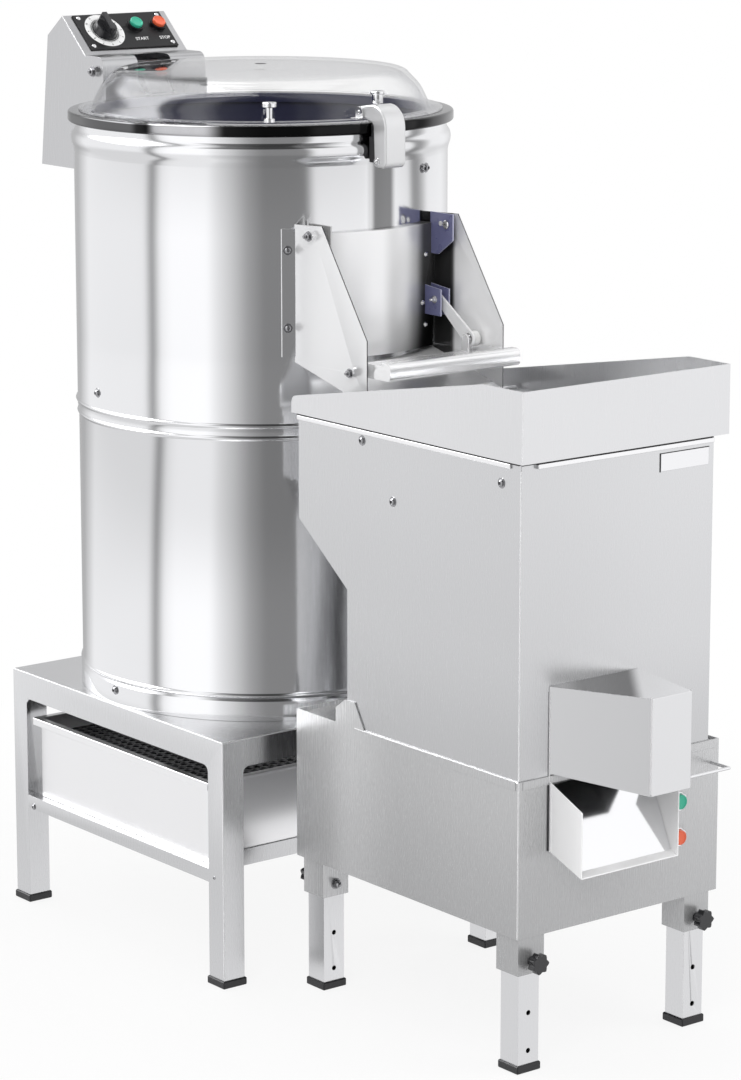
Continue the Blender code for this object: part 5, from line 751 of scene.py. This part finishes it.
def make_drum():
    lower = [(LOWER_RADIUS, SEAM_Z - GAP)]
    lower += bead(LOWER_RADIUS, SEAM_Z - 0.01)
    lower += bead(LOWER_RADIUS, RING_TOP + 0.005)
    lower += smooth_path([(LOWER_RADIUS, RING_TOP), (RING_RADIUS, RING_TOP - 0.004)])
    lower += [(RING_RADIUS, DRUM_LOW)]
    drum_sheet("lower_drum_shell", lower)

    top = DRUM_TOP - 0.008
    shoulder = [(NECK_RADIUS + 0.0022, DRUM_TOP)]
    shoulder += [(NECK_RADIUS + out, top + up) for out, up in ((0.0026, 0.003), (0.0042, -0.003))]
    shoulder += [(DRUM_RADIUS + out, top - down) for out, down in (
        (0.0035, 0.01), (0.0048, 0.017), (0.0042, 0.024), (0.0016, 0.032), (0, 0.04))]
    upper = smooth_path(shoulder, 5)
    upper += [(DRUM_RADIUS, z)
              for z in (WINDOW_TOP + 0.003, WINDOW_TOP, WINDOW_LOW, WINDOW_LOW - 0.003)]
    upper += bead(DRUM_RADIUS, SEAM_Z + 0.01) + [(DRUM_RADIUS, SEAM_Z)]
    drum_sheet("upper_drum_shell", upper, in_window)

    outer, inner, low, high = SEAL_HIGH.x, SEAL_HIGH.x - 0.028, SEAL_LOW.z, SEAL_HIGH.z
    r = 0.004
    profile = arc((outer - r, high - r), r, 90, 0, 6) + arc((outer - r, low + r), r, 0, -90, 6)
    profile += arc((inner + r / 2, low + r / 2), r / 2, 270, 180, 4)
    profile += arc((inner + r / 2, high - r / 2), r / 2, 180, 90, 4)
    seal = turned("rim_seal_finish", profile, SEAL, "root", replaces=["rim_seal"])
    paint(seal, LINER_EDGE, lambda middle, normal: middle.xy.length < inner + 0.001)

    low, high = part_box("abrasive_liner")
    radius = high.x
    sheet = revolve(bmesh.new(), [(radius, z) for z in (high.z, WINDOW_TOP, WINDOW_LOW, low.z)],
                    ROUND_STEPS, DRUM_AXIS, False, skip=in_window)
    offset = -1 if leans_out(outward(sheet)) else 1
    liner = piece("abrasive_liner_finish", sheet, LINER, replaces=["abrasive_liner"])
    thicken(liner, 0.003, offset)
    band = [(radius - 0.0062, high.z - 0.002), (radius - 0.0062, DRUM_TOP + 0.001),
            (radius - 0.0082, DRUM_TOP + 0.001), (radius - 0.0082, high.z - 0.002)]
    turned("liner_top_band", band, LINER_EDGE, "root")

    hardware("drum_bolts", bolt, [
        (*on_drum(azimuth, z, RING_RADIUS if z < RING_TOP else DRUM_RADIUS), 0.0056, 0.0045)
        for azimuth, z in ((173.2, 0.913), (181.3, 0.4275), (291, 1.276), (293.2, 1.276),
                           (12, 0.913), (75, 0.4275), (330, 0.4275))], BOLT_STEEL)


def make_inside():
    """Disc with its ribs, and the machinery that shows only when the machine is open."""
    refine("chamber_floor", IRON, 0.0006, 1, 50)
    refine("peeling_disc", GRIT, 0.0015, 2, 50)
    for name in ("disc_shaft", "driven_pulley", "motor_pulley", "drive_belt", "peeler_motor",
                 "drain_pipe", "water_inlet", "timer_unit", "knife_grid", "cutter_rotor",
                 "cutter_motor"):
        refine(name, None, 0.0004, 1, 50)


# Lid

LID_LOW, LID_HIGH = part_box("lid_dome")
LID_RADIUS = LID_HIGH.x
LID_FLANGE_TOP = LID_LOW.z + 0.004
LID_RISE = 0.0679
LID_BASE = LID_RADIUS - 0.02
LID_SHOULDER = LID_BASE - 0.034
LID_WALL = 0.0052
VENT_RADIUS = 0.0045
STUD_AZIMUTH = radians(236.3)


def make_lid():
    top = LID_FLANGE_TOP + LID_RISE
    crown = [(VENT_RADIUS, top), (0.06, top - 0.0002), (LID_SHOULDER * 0.5, top - 0.001),
             (LID_SHOULDER * 0.86, top - 0.004), (LID_SHOULDER * 0.965, top - 0.0085),
             (LID_SHOULDER + 0.003, top - 0.0185),
             (LID_SHOULDER + 0.018, LID_FLANGE_TOP + LID_RISE * 0.48),
             (LID_BASE - 0.004, LID_FLANGE_TOP + 0.009)]
    flange = [(LID_BASE + 0.001, LID_FLANGE_TOP + 0.0006), (LID_RADIUS - 0.001, LID_FLANGE_TOP),
              (LID_RADIUS, LID_FLANGE_TOP - 0.001), (LID_RADIUS, LID_LOW.z + 0.0006),
              (LID_RADIUS - 0.001, LID_LOW.z), (LID_BASE - 0.004, LID_LOW.z)]
    under = [(max(radius - LID_WALL * (0.2 if i < 4 else 0.95), VENT_RADIUS),
              height - LID_WALL * (1 if i < 6 else 0.6))
             for i, (radius, height) in reversed(list(enumerate(crown)))]
    turned("lid_dome_finish", smooth_path(crown, 6) + flange + smooth_path(under, 5), CLEAR,
           "lid", sharp=40, replaces=["lid_dome"])

    reach, height = LID_RADIUS - 0.0086, 0.031
    stud = [(0, height), (0.0105, height), (0.0115, height - 0.001), (0.0115, height - 0.007),
            (0.0105, height - 0.008), (0.0053, height - 0.008), (0.0053, 0.006),
            (0.0085, 0.005), (0.009, 0), (0, 0)]
    turned("lid_stud", stud, BRIGHT, "lid", SMALL_STEPS * 2,
           shift(at(reach * cos(STUD_AZIMUTH), reach * sin(STUD_AZIMUTH),
                    LID_FLANGE_TOP)), False, 40)
    vent = [(0, 0.0006), (0.0088, 0.0006), (0.0102, 0), (0, 0)]
    turned("lid_vent", vent, DARK_SATIN, "lid", SMALL_STEPS,
           shift(at(0, 0, top - 0.0004)), False, 40)
    refine("lid_hinge_arm", BLACK, 0.001)
    refine("lid_hinge_pin", BRIGHT, 0.0004, 1)
    refine("latch_bracket", BRIGHT, 0.0004, 1)


# Latch

LATCH_BAR = 0.0225
LATCH_BEND = 0.036
KNUCKLE_RADIUS = 0.0095
KNUCKLE_DROP = 0.0135
PAD_LOW, PAD_STEP, PAD_TOP = 1.2965, 1.3372, 1.356


def make_latch():
    low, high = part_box("latch_arch")
    knob_low, knob_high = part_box("latch_knob")
    half = high.x - 0.0005
    outer_y, end_y, crest = low.y - AXIS_Y, high.y - AXIS_Y, high.z
    inner_y = outer_y + 0.029
    centre = (outer_y + LATCH_BEND, crest - LATCH_BEND)
    outline = [(inner_y, low.z + 0.006)]
    outline += arc((inner_y - 0.006, low.z + 0.006), 0.006, 0, -90, 4)[1:]
    outline += arc((outer_y + 0.01, low.z + 0.01), 0.01, 270, 180, 6)
    outline += arc(centre, LATCH_BEND, 180, 90, 16)
    outline += arc((end_y - KNUCKLE_RADIUS, crest - KNUCKLE_DROP), KNUCKLE_RADIUS, 75, -120, 10)
    outline += arc((centre[0] + 0.004, centre[1]), (LATCH_BEND - LATCH_BAR) * 0.62, 80, 175, 8)
    arch = piece("latch_arch_finish", outward(slab(bmesh.new(), outline, -half, half)),
                 ALUMINIUM, "latch", 40, ["latch_arch"])
    soften(arch, 0.0035, 3, 40)

    middle = (knob_low + knob_high) / 2
    top, bottom = knob_high.z, knob_low.z
    seat = top - 0.02
    profile = [(0, top - 0.0004), (0.009, top - 0.0002), (0.0108, top - 0.001),
               (0.0115, top - 0.0022), (0.0115, top - 0.0045), (0.0108, top - 0.0058),
               (0.0088, top - 0.0066), (0.0086, seat + 0.001), (0.0078, seat),
               (0.0038, seat), (0.0038, bottom), (0, bottom)]
    turned("latch_knob_finish", profile, BRIGHT, "latch_screw", SMALL_STEPS * 2,
           shift(Vector((middle.x, middle.y, 0))), False, 40, ["latch_knob"])
    hardware("latch_screws", bolt, [
        (Vector((-half, y, z)), LEFTWARD, 0.005, 0.004) for y, z in (
            (inner_y + AXIS_Y - 0.007, low.z + 0.009),
            (end_y + AXIS_Y - KNUCKLE_RADIUS, crest - KNUCKLE_DROP))], BRIGHT, "latch")
    width = (-half + 0.001, half - 0.001)
    # A black rubber pad on the arch's inner face; it also stands for the deep shade inside the
    # hook
    pad = several("latch_shade_pad", block, (
        (width, (inner_y - 0.0005, -0.3118), (PAD_LOW, PAD_STEP)),
        (width, (inner_y - 0.0005, -0.317), (PAD_STEP, PAD_TOP))),
        FOOT_RUBBER, "latch")
    soften(pad, 0.0012)


# Control box

PANEL_ANGLE = atan2(0.063, 0.069)
PANEL = shift(at(0, 0.357, 1.426)) @ Matrix.Rotation(PANEL_ANGLE, 4, "X")
PANEL_FACE = 0.0028
DIAL = (-0.04, 0.052)
START_X = 0.026
STOP_X = 0.073
BUTTONS_UP = 0.06
WORDS_UP = 0.029
BUTTON_RADIUS = 0.0115
COLLAR_HEIGHT = 0.006
PRINT_LIFT = 0.0002
POINTER_LIFT = 0.0242


def on_panel(x, up, out=0):
    """A point on the sloping panel, its distance measured out of the black face."""
    return PANEL @ Vector((x, up, PANEL_FACE + out))


def on_dial(lift):
    """A frame over the dial's middle, lifted off the black face."""
    return PANEL @ shift((*DIAL, PANEL_FACE + lift))


def print_text(words, size, place, look):
    """Printed letters that lie in a frame's XY plane, centred on its origin."""
    curve = bpy.data.curves.new("letters", "FONT")
    curve.body = words
    curve.size = size
    curve.align_x = "CENTER"
    curve.align_y = "CENTER"
    curve.extrude = 0.00006
    curve.offset = size * 0.012
    holder = add_object("letters", curve)
    bpy.context.view_layer.update()
    mesh = bpy.data.meshes.new_from_object(holder.evaluated_get(
        bpy.context.evaluated_depsgraph_get()))
    bpy.data.objects.remove(holder)
    bpy.data.curves.remove(curve)
    bm = bmesh.new()
    bm.from_mesh(mesh)
    bpy.data.meshes.remove(mesh)
    bm.transform(place)
    piece("print_" + words.lower(), bm, look)


def dial_strokes(name, strokes, look, body="root"):
    """Short strokes that point at the dial's middle, each an angle and four measures."""
    bm = bmesh.new()
    for angle, inner, outer, half, lift in strokes:
        turn = on_dial(lift) @ Matrix.Rotation(radians(angle), 4, "Z")
        corners = [(-half, inner), (half, inner), (half, outer), (-half, outer)]
        bm.faces.new([bm.verts.new(turn @ Vector((u, v, 0))) for u, v in corners])
    piece(name, bm, look, body)


def make_push_button(name, look, place):
    """A cap with a raised rim and a shallow dish, on its stem."""
    top = COLLAR_HEIGHT + 0.005
    r = BUTTON_RADIUS
    profile = [(0, top - 0.0016), (r * 0.6, top - 0.0014), (r * 0.76, top - 0.0008),
               (r * 0.84, top), (r * 0.92, top - 0.0001), (r * 0.98, top - 0.0008),
               (r, top - 0.0018), (r, 0.0035), (0.008, 0.003), (0.008, -0.0185), (0, -0.0185)]
    turned(name + "_cap", profile, look, BODY_OF[name], SMALL_STEPS * 2, place,
           False, 40, [name])


def make_control_box():
    refine("control_box", BOX_STEEL, 0.0014, 3)
    refine("control_panel", PANEL_BLACK, 0.0004, 1)
    refine("timer_knob", BLACK)
    for name, look, x in (("start_button", GREEN, START_X), ("stop_button", RED, STOP_X)):
        make_push_button(name, look, PANEL @ shift((x, BUTTONS_UP, PANEL_FACE)))

    out = PANEL.to_3x3() @ Vector((0, 0, 1))
    hardware("panel_screws", cross_screw, [
        (on_panel(x, up), out, 0.004, 0.0014) for x, up in (
            (-0.0785, 0.0825), (0.083, 0.0825), (0.0835, 0.0175), (-0.079, 0.0175))], BRIGHT)

    ring = [(0.0262, 0), (0.0368, 0), (0.0368, 0.00015), (0.0262, 0.00015)]
    turned("dial_ring", ring, PRINT_WHITE, steps=96, place=on_dial(0))
    dial_strokes("dial_marks", [
        (-6 * number, 0.0268, *((0.0284, 0.00018) if number % 5 else (0.0298, 0.00032)),
         PRINT_LIFT) for number in range(60)], PRINT_BLACK)
    dial_strokes("dial_inner_marks", [(-6 * number + 3, 0.0232, 0.0254, 0.0004, PRINT_LIFT)
                                      for number in range(60)], PRINT_WHITE)
    for number in range(1, 12):
        turn = Matrix.Rotation(radians(-30 * number), 4, "Z")
        place = on_dial(PRINT_LIFT) @ turn @ shift((0, 0.0331, 0))
        print_text(str(number), 0.0052, place, PRINT_BLACK)
    for words, x in (("START", START_X), ("STOP", STOP_X)):
        print_text(words, 0.0092, PANEL @ shift((x, WORDS_UP, PANEL_FACE + 0.0001)), PRINT_WHITE)
    dial_strokes("timer_pointer", [(0, 0.004, 0.0165, 0.0009, POINTER_LIFT)], PRINT_WHITE,
                 "timer")

    hardware("hinge_pin_nuts", nut, [
        (at(out[0] * 0.1106, 0.327, 1.401), out, 0.0068, 0.0045, 0.003)
        for out in (LEFTWARD, RIGHTWARD)], BOLT_STEEL, sharp=30)
    # Painted highlights along the control box's edges
    edge_lines("control_box_edge_lines", (
        (on_panel(-0.104, -0.003, -0.0022), on_panel(0.104, -0.003, -0.0022), 0.0011),
        (on_panel(-0.1042, -0.002, -0.0035), on_panel(-0.1042, 0.092, -0.0035), 0.001)))


# Discharge

CHEEK_X = 0.137
FLANGE_X = 0.1395
FLANGE_BOLT_X = 0.147
TRAY_NUT_X = 0.1434
DOOR_PIVOT = (-0.3187, 1.19)
TRAY_PIVOT = (-0.4216, 0.9887)
TOGGLE_TOP = (-0.325, 1.07)
DOOR_RADIUS = 0.318
LUG_X = 0.1


def on_door_lug(middle, normal):
    return middle.x > LUG_X and middle.xy.length > DOOR_RADIUS + 0.0005


def on_lug_edge(middle, normal):
    return on_door_lug(middle, normal) and abs(normal.x) < 0.5


def make_discharge():
    chute = refine("discharge_chute", CHEEK_STEEL, 0.0005)
    paint(chute, DRUM_STEEL, lambda middle, normal: abs(middle.x) > FLANGE_X and normal.y < -0.5)
    # The cheeks' inner faces take that lighter copy with its painted shadow near the drum
    paint(chute, CHEEK_INSIDE, lambda middle, normal: abs(middle.x) > 0.12
          and normal.x * middle.x < -0.06)
    # The cheeks' slanted edges are painted dark, a painted shadow in the gap by the door
    paint(chute, DARK_SATIN, lambda middle, normal: abs(abs(middle.x) - CHEEK_X) < 0.004
          and abs(normal.x) < 0.3 and normal.y < -0.1 and middle.y < -0.335)
    door = refine("discharge_door", DOOR_STEEL, 0.0005)
    paint(door, FILM, on_door_lug)
    # The lug's edge faces get the lighter film, a painted highlight
    paint(door, FILM_HIGHLIGHT, on_lug_edge)
    refine("discharge_tray", TRAY_STEEL, 0.001, 3)
    refine("toggle_link", LINK_STEEL, 0.0005)
    refine("link_roller", WHITE, 0.001)
    refine("tray_pivot_rod", BRIGHT, 0.0004, 1)

    bm = bmesh.new()
    for side, out in ((-1, LEFTWARD), (1, RIGHTWARD)):
        azimuth = 270 + side * degrees(asin(FLANGE_BOLT_X / DRUM_RADIUS))
        for z in (1.1635, 1.0407):
            bolt(bm, *on_drum(azimuth, z, DRUM_RADIUS + SHEET + GAP), 0.0052, 0.0042)
        nut(bm, at(side * (CHEEK_X + 0.0073), *DOOR_PIVOT), out, 0.0062, 0.0045, 0.0045)
        nut(bm, at(side * TRAY_NUT_X, *TRAY_PIVOT), out, 0.0058, 0.0045, 0.0035)
    piece("chute_fasteners", outward(bm), BOLT_STEEL, sharp=30)

    bm = bmesh.new()
    for x, z in ((0.104, 1.14), (0.0955, 1.063), (0.1035, 1.027)):
        out = Vector((x, -sqrt(DOOR_RADIUS ** 2 - x ** 2), 0)).normalized()
        bolt(bm, at(*(out * DOOR_RADIUS).xy, z), out, 0.0046, 0.0034, False)
    cross_screw(bm, at(0.1188, -0.333, 1.1895), LEFTWARD, 0.0072, 0.0018)
    nut(bm, at(0.1034, *TOGGLE_TOP), LEFTWARD, 0.0048, 0.003, 0.006)
    piece("door_fasteners", outward(bm), BRIGHT, "door", 30)
    hardware("tray_pin_bolt", bolt, [(at(0.1112, -0.4, 1.015), LEFTWARD, 0.0046, 0.003)],
             BRIGHT, "tray")


# Chipping machine

BASE_X = (-0.196, 0.205)
BASE_Y = (-0.89, -0.352)
BASE_Z = (0.211, 0.451)
HOUSING_X = (-0.1937, 0.185)
HOUSING_Y = (-0.8877, -0.3565)
HOPPER_CORNER = (-0.197, -0.894)
HOPPER_LOW = 0.9229
BUTTONS_X = 0.12
GRIP_Y = -0.929
GRIP_Z = 0.415
LEG_NUT_Z = 0.174
HINGE_Y = -0.409


def make_cutter():
    refine("cutter_base", BASE_STEEL, 0.0012)
    refine("cutter_housing", HOUSING_STEEL, 0.0015, 3)
    refine("cutter_hopper", PALE_SATIN, 0.001)
    refine("outlet_hood", HOOD, 0.0014, 3)
    # Painted highlights down the hood's corners
    edge_lines("hood_edge_lines", [
        (at(x, y, 0.432), at(x, y, 0.578), 0.0012)
        for x, y in ((-0.1362, -0.889), (-0.0402, -1.0042), (0.0377, -1.0042))])
    refine("outlet_chute", CHUTE_STEEL)
    for number in range(1, 5):
        refine(f"cutter_leg_{number}", PALE_SATIN, 0.0012)
        refine(f"clamp_knob_{number}", BLACK, 0.001)
    for name, look, z in (("cutter_start_button", GREEN, 0.367),
                          ("cutter_stop_button", RED, 0.311)):
        place = shift(at(BUTTONS_X, BASE_Y[0], z)) @ Matrix.Rotation(pi / 2, 4, "X")
        make_push_button(name, look, place)
        ring = [(0.0119, 0), (0.0156, 0), (0.0156, 0.0042), (0.015, 0.0058),
                (0.0136, 0.0066), (0.0122, 0.0062), (0.0119, 0.0054)]
        turned(name + "_chrome_ring", ring, BRIGHT, steps=48, place=place)

    # The flange's bright look is a painted highlight, beside a dark seam
    several("outlet_chute_flange", block, [
        ((-0.1385, -0.1362), (-0.8935, -0.8903), (0.336, 0.44))], EDGE)
    several("outlet_chute_seam", block, [
        ((-0.1402, -0.1385), (-0.892, -0.8903), (0.338, 0.438))], DARK_SATIN)
    several("outlet_guide_sheet", slab, [
        ([(-0.8935, 0.4385), (-0.8923, 0.4385), (-0.949, 0.3128), (-0.9503, 0.3128)],
         -0.1335, 0.0545)], MIRROR)

    left, front, rear = HOUSING_X[0], *HOUSING_Y
    flange, gap = (0.9135, 0.9205), (0.9206, 0.9227)
    flanges = several("hopper_flanges", block, (
        ((HOPPER_CORNER[0] + 0.0002, left), (-0.866, rear), flange),
        ((-0.166, 0.181), (HOPPER_CORNER[1] + 0.0002, front), flange)), WHITE_STEEL)
    soften(flanges, 0.001)
    # Black strips in the gap between the flanges and the hopper, painted shade
    several("hopper_gap", block, (
        ((left - 0.0026, left), (-0.885, rear), gap),
        ((left, 0.182), (front - 0.0026, front), gap)), FOOT_RUBBER)
    hardware("housing_bolts", bolt, [
        (at(x, y, z), out, 0.0056, 0.0036)
        for y, z in ((-0.517, 0.9035), (-0.844, 0.8895), (-0.592, 0.821))
        for x, out in ((left, LEFTWARD), (HOUSING_X[1], RIGHTWARD))], BOLT_STEEL)

    plate = hardware("badge_plate", block, [
        ((0.077, 0.174), (front - 0.0012, front), (0.88, 0.9065))], BRIGHT, sharp=32)
    soften(plate, 0.0005)
    border = (front - 0.001, front)
    several("badge_border", block, (((0.0758, 0.077), border, (0.879, 0.9075)),
                                    ((0.077, 0.175), border, (0.9065, 0.9075))), PRINT_BLACK)
    hem, strip = (BASE_Z[1] - 0.013, BASE_Z[1]), (BASE_Y[0] - 0.0008, BASE_Y[0])
    strips = several("base_hem_strips", block, (
        ((BASE_X[0] - 0.0008, BASE_X[0]), (-0.884, -0.705), hem),
        ((-0.188, -0.14), strip, hem), ((0.06, 0.196), strip, hem)), BASE_STEEL)
    soften(strips, 0.0003, 1)

    inset, radius = 0.0009, 0.0011
    side, face, top = BASE_X[0] + inset, BASE_Y[0] + inset, BASE_Z[1] - inset
    corner = at(side, face, top)
    housing = (left + inset, front + inset)
    hopper = (HOPPER_CORNER[0] + inset, HOPPER_CORNER[1] + inset)
    # Painted highlights along the corners of the base, housing and hopper
    edge_lines("cutter_edge_lines", (
        (at(*housing, 0.4525), at(*housing, 0.913), radius),
        (at(side, face, BASE_Z[0]), corner, radius),
        (corner, at(side, -0.5, top), radius),
        (corner, at(BASE_X[1] - inset, face, top), radius * 0.8),
        (at(*hopper, HOPPER_LOW + 0.001), at(*hopper, 1.0278), radius * 0.9)))
    radius = 0.0008
    # Painted highlights down each leg's corner
    for number in range(1, 5):
        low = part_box(f"cutter_leg_{number}")[0]
        x, y = low.x + radius, low.y + radius
        edge_lines(f"cutter_leg_edge_{number}", [
            (Vector((x, y, low.z + 0.01)), Vector((x, y, BASE_Z[0] - 0.058)), radius)],
                   BODY_OF[f"cutter_leg_{number}"])

    grip = [at(x, y, GRIP_Z) for x, y in ((0.062, BASE_Y[0]), (0.062, GRIP_Y), (0.19, GRIP_Y),
                                          (0.19, BASE_Y[0]))]
    hardware("base_grip", wire, [(grip, 0.0026)], BRIGHT, sharp=50)

    bm = bmesh.new()
    cap = [(r, 0.006 + h) for r, h in reversed(dome_head(0.0052, 0.0058))] + [(0, 0.006)]
    for x in (-0.168, 0.165):
        front_nut = at(x, -0.4162, LEG_NUT_Z)
        nut(bm, front_nut, FORWARD, 0.0068, 0.005, 0)
        revolve(bm, cap, SMALL_STEPS, frame_on(front_nut, FORWARD), False)
        nut(bm, at(x, -0.8388, LEG_NUT_Z), BACK, 0.0068, 0.005, 0)
    piece("leg_nuts", outward(bm), BOLT_STEEL, sharp=30)
    bm = bmesh.new()
    for y in (-0.42, -0.398):
        block(bm, (0.07, 0.2), (y - 0.003, y + 0.003), (0.9235, 0.9275))
    rod(bm, at(0.068, HINGE_Y, 0.929), at(0.202, HINGE_Y, 0.929), 0.0034)
    piece("hopper_hinge_strip", outward(bm), BRIGHT, sharp=40)


# Studio

CAMERA_PLACE = Vector((-3.4434, -4.4292, 1.8949))
CAMERA_RIGHT = Vector((0.787, -0.6169, 0))
CAMERA_UP = Vector((0.11965, 0.15265, 0.98097))
CAMERA_AHEAD = Vector((0.6052, 0.7721, -0.19396))
LENS = 118.43
SENSOR_WIDTH = 36
SHIFT_Y = -0.0601
AMBIENT = 0.66
GLOSS_SCALE = 1.3
PURE_WHITE = (1, 1, 1)
# Level of the studio in each direction, by azimuth in degrees
STUDIO = ((0, 1.04), (20, 1.04), (36, 0.8), (52, 0.66), (70, 0.52), (80, 0.55), (91, 0.8),
          (100, 1.04), (157, 1.04), (163, 0.3), (169, 1.1), (176, 1.25), (200, 1.25),
          (206, 1), (215, 0.75), (225, 0.43), (235, 0.27), (261, 0.27), (267, 1.04),
          (298, 1.06), (306, 1.18), (320, 1.12), (336, 1), (341, 0.36),
          (346, 0.38), (352, 0.66), (357, 1), (360, 1.04))
# A soft box high on the left and a dark ceiling in front, as azimuth and the share of each
CEILING = ((72, 0, 0), (84, 0.42, 0), (100, 0.55, 0), (125, 0.8, 0), (145, 1, 0),
           (152, 0, 0), (184, 0, 0), (200, 0, 1), (280, 0, 1), (298, 0, 0))
SOFT_BOX_SCALE = 6
CEILING_DARK = 0.8
FLOOR_STEPS = 96
FLOOR_RINGS = (0, 0.5, 1, 1.5, 2, 3, 5, 9)
LIGHT_TARGET = Vector((0, 0, 0.7))
LIGHTS = (("key_light", (-3.2, -2.6, 3.6), 2.6, 70), ("fill_light", (2.8, -3.4, 2.4), 2.6, 34),
          ("top_light", (0.2, 0.6, 4.2), 3, 36))


def either(tree, factor, first, second):
    """Two shaders mixed by a factor."""
    return feed(tree, tree.nodes.new("ShaderNodeMixShader"), factor, first, second)["Shader"]


def backdrop(tree, colour, strength):
    return node(tree, "Background", Color=colour, Strength=strength)["Background"]


def make_world():
    """A plain light for surfaces, a shaped studio for mirror images and a white background."""
    world = bpy.data.worlds.new("studio")
    bpy.context.scene.world = world
    world.use_nodes = True
    tree = world.node_tree
    tree.nodes.clear()
    place = node(tree, "TexCoord")["Generated"]
    axes = node(tree, "SeparateXYZ", Vector=place)
    angle = maths(tree, "ARCTAN2", axes["Y"], axes["X"])
    azimuth = maths(tree, "FRACT", maths(tree, "MULTIPLY", angle, 1 / tau))
    colour = ramped(tree, azimuth, [
        (turn / 360, shade((1, 1, 1.01), level / GLOSS_SCALE)) for turn, level in STUDIO])
    fall = ranged(tree, axes["Z"], -0.36, -0.1, 0.8, 1, "SMOOTHSTEP")
    panels = ramped(tree, azimuth, [(turn / 360, (bright, dark, 0))
                                    for turn, bright, dark in CEILING])
    shares = node(tree, "SeparateColor", Color=panels)
    height = ranged(tree, axes["Z"], 0.3, 0.46, 0, SOFT_BOX_SCALE, "SMOOTHSTEP")
    ceiling = ranged(tree, axes["Z"], 0.52, 0.66, 0, -CEILING_DARK, "SMOOTHSTEP")
    raised = maths(tree, "MULTIPLY_ADD", shares["Red"], height,
                   maths(tree, "MULTIPLY_ADD", shares["Green"], ceiling, 1))
    level = maths(tree, "MULTIPLY", maths(tree, "MULTIPLY", fall, raised), GLOSS_SCALE)
    path = node(tree, "LightPath")
    lit = either(tree, path["Is Glossy Ray"], backdrop(tree, PURE_WHITE, AMBIENT),
                 backdrop(tree, colour, level))
    seen = maths(tree, "MAXIMUM", path["Is Camera Ray"], path["Is Transmission Ray"])
    node(tree, "OutputWorld", Surface=either(tree, seen, lit, backdrop(tree, PURE_WHITE, 1)))


def make_floor():
    """A white disc that fades into the background."""
    bm = revolve(bmesh.new(), [(radius, 0) for radius in FLOOR_RINGS], FLOOR_STEPS, closed=False)
    for face in bm.faces:
        if face.normal.z < 0:
            face.normal_flip()
    material, tree, shader = new_material("floor_white", (0.9, 0.9, 0.9), 0.9,
                                          Specular_IOR_Level=0)
    floor = add_object("studio_floor", make_mesh("studio_floor", bm, material))
    floor.visible_glossy = False
    place = node(tree, "TexCoord")["Object"]
    reach = maths(tree, "LENGTH", place, kind="VectorMath")
    fade = ranged(tree, reach, 0.7, 1.7, 0.87, 1, "SMOOTHSTEP")
    shown = maths(tree, "MULTIPLY", fade, node(tree, "LightPath")["Is Camera Ray"])
    glow = node(tree, "Emission", Color=PURE_WHITE, Strength=1)["Emission"]
    join(tree, either(tree, shown, shader.outputs["BSDF"], glow),
         tree.nodes["Material Output"].inputs["Surface"])


def make_lights():
    for name, place, size, power in LIGHTS:
        data = bpy.data.lights.new(name, "AREA")
        data.shape = "SQUARE"
        data.size = size
        data.energy = power
        lamp = add_object(name, data)
        lamp.location = place
        lamp.rotation_euler = (LIGHT_TARGET - Vector(place)).to_track_quat("-Z", "Y").to_euler()
        lamp.visible_glossy = False
        lamp.visible_camera = False


def make_camera():
    data = bpy.data.cameras.new("camera")
    data.sensor_width = SENSOR_WIDTH
    data.lens = LENS
    data.shift_y = SHIFT_Y
    data.clip_start = 0.1
    data.clip_end = 60
    camera = add_object("camera", data)
    rows = Matrix((CAMERA_RIGHT, CAMERA_UP, -CAMERA_AHEAD)).transposed().to_4x4()
    camera.matrix_world = shift(CAMERA_PLACE) @ rows
    bpy.context.scene.camera = camera
    bpy.context.scene.view_settings.view_transform = "Standard"


make_camera()
make_world()
make_floor()
make_lights()
make_stand()
make_drawer()
make_drum()
make_inside()
make_lid()
make_latch()
make_control_box()
make_discharge()
make_cutter()
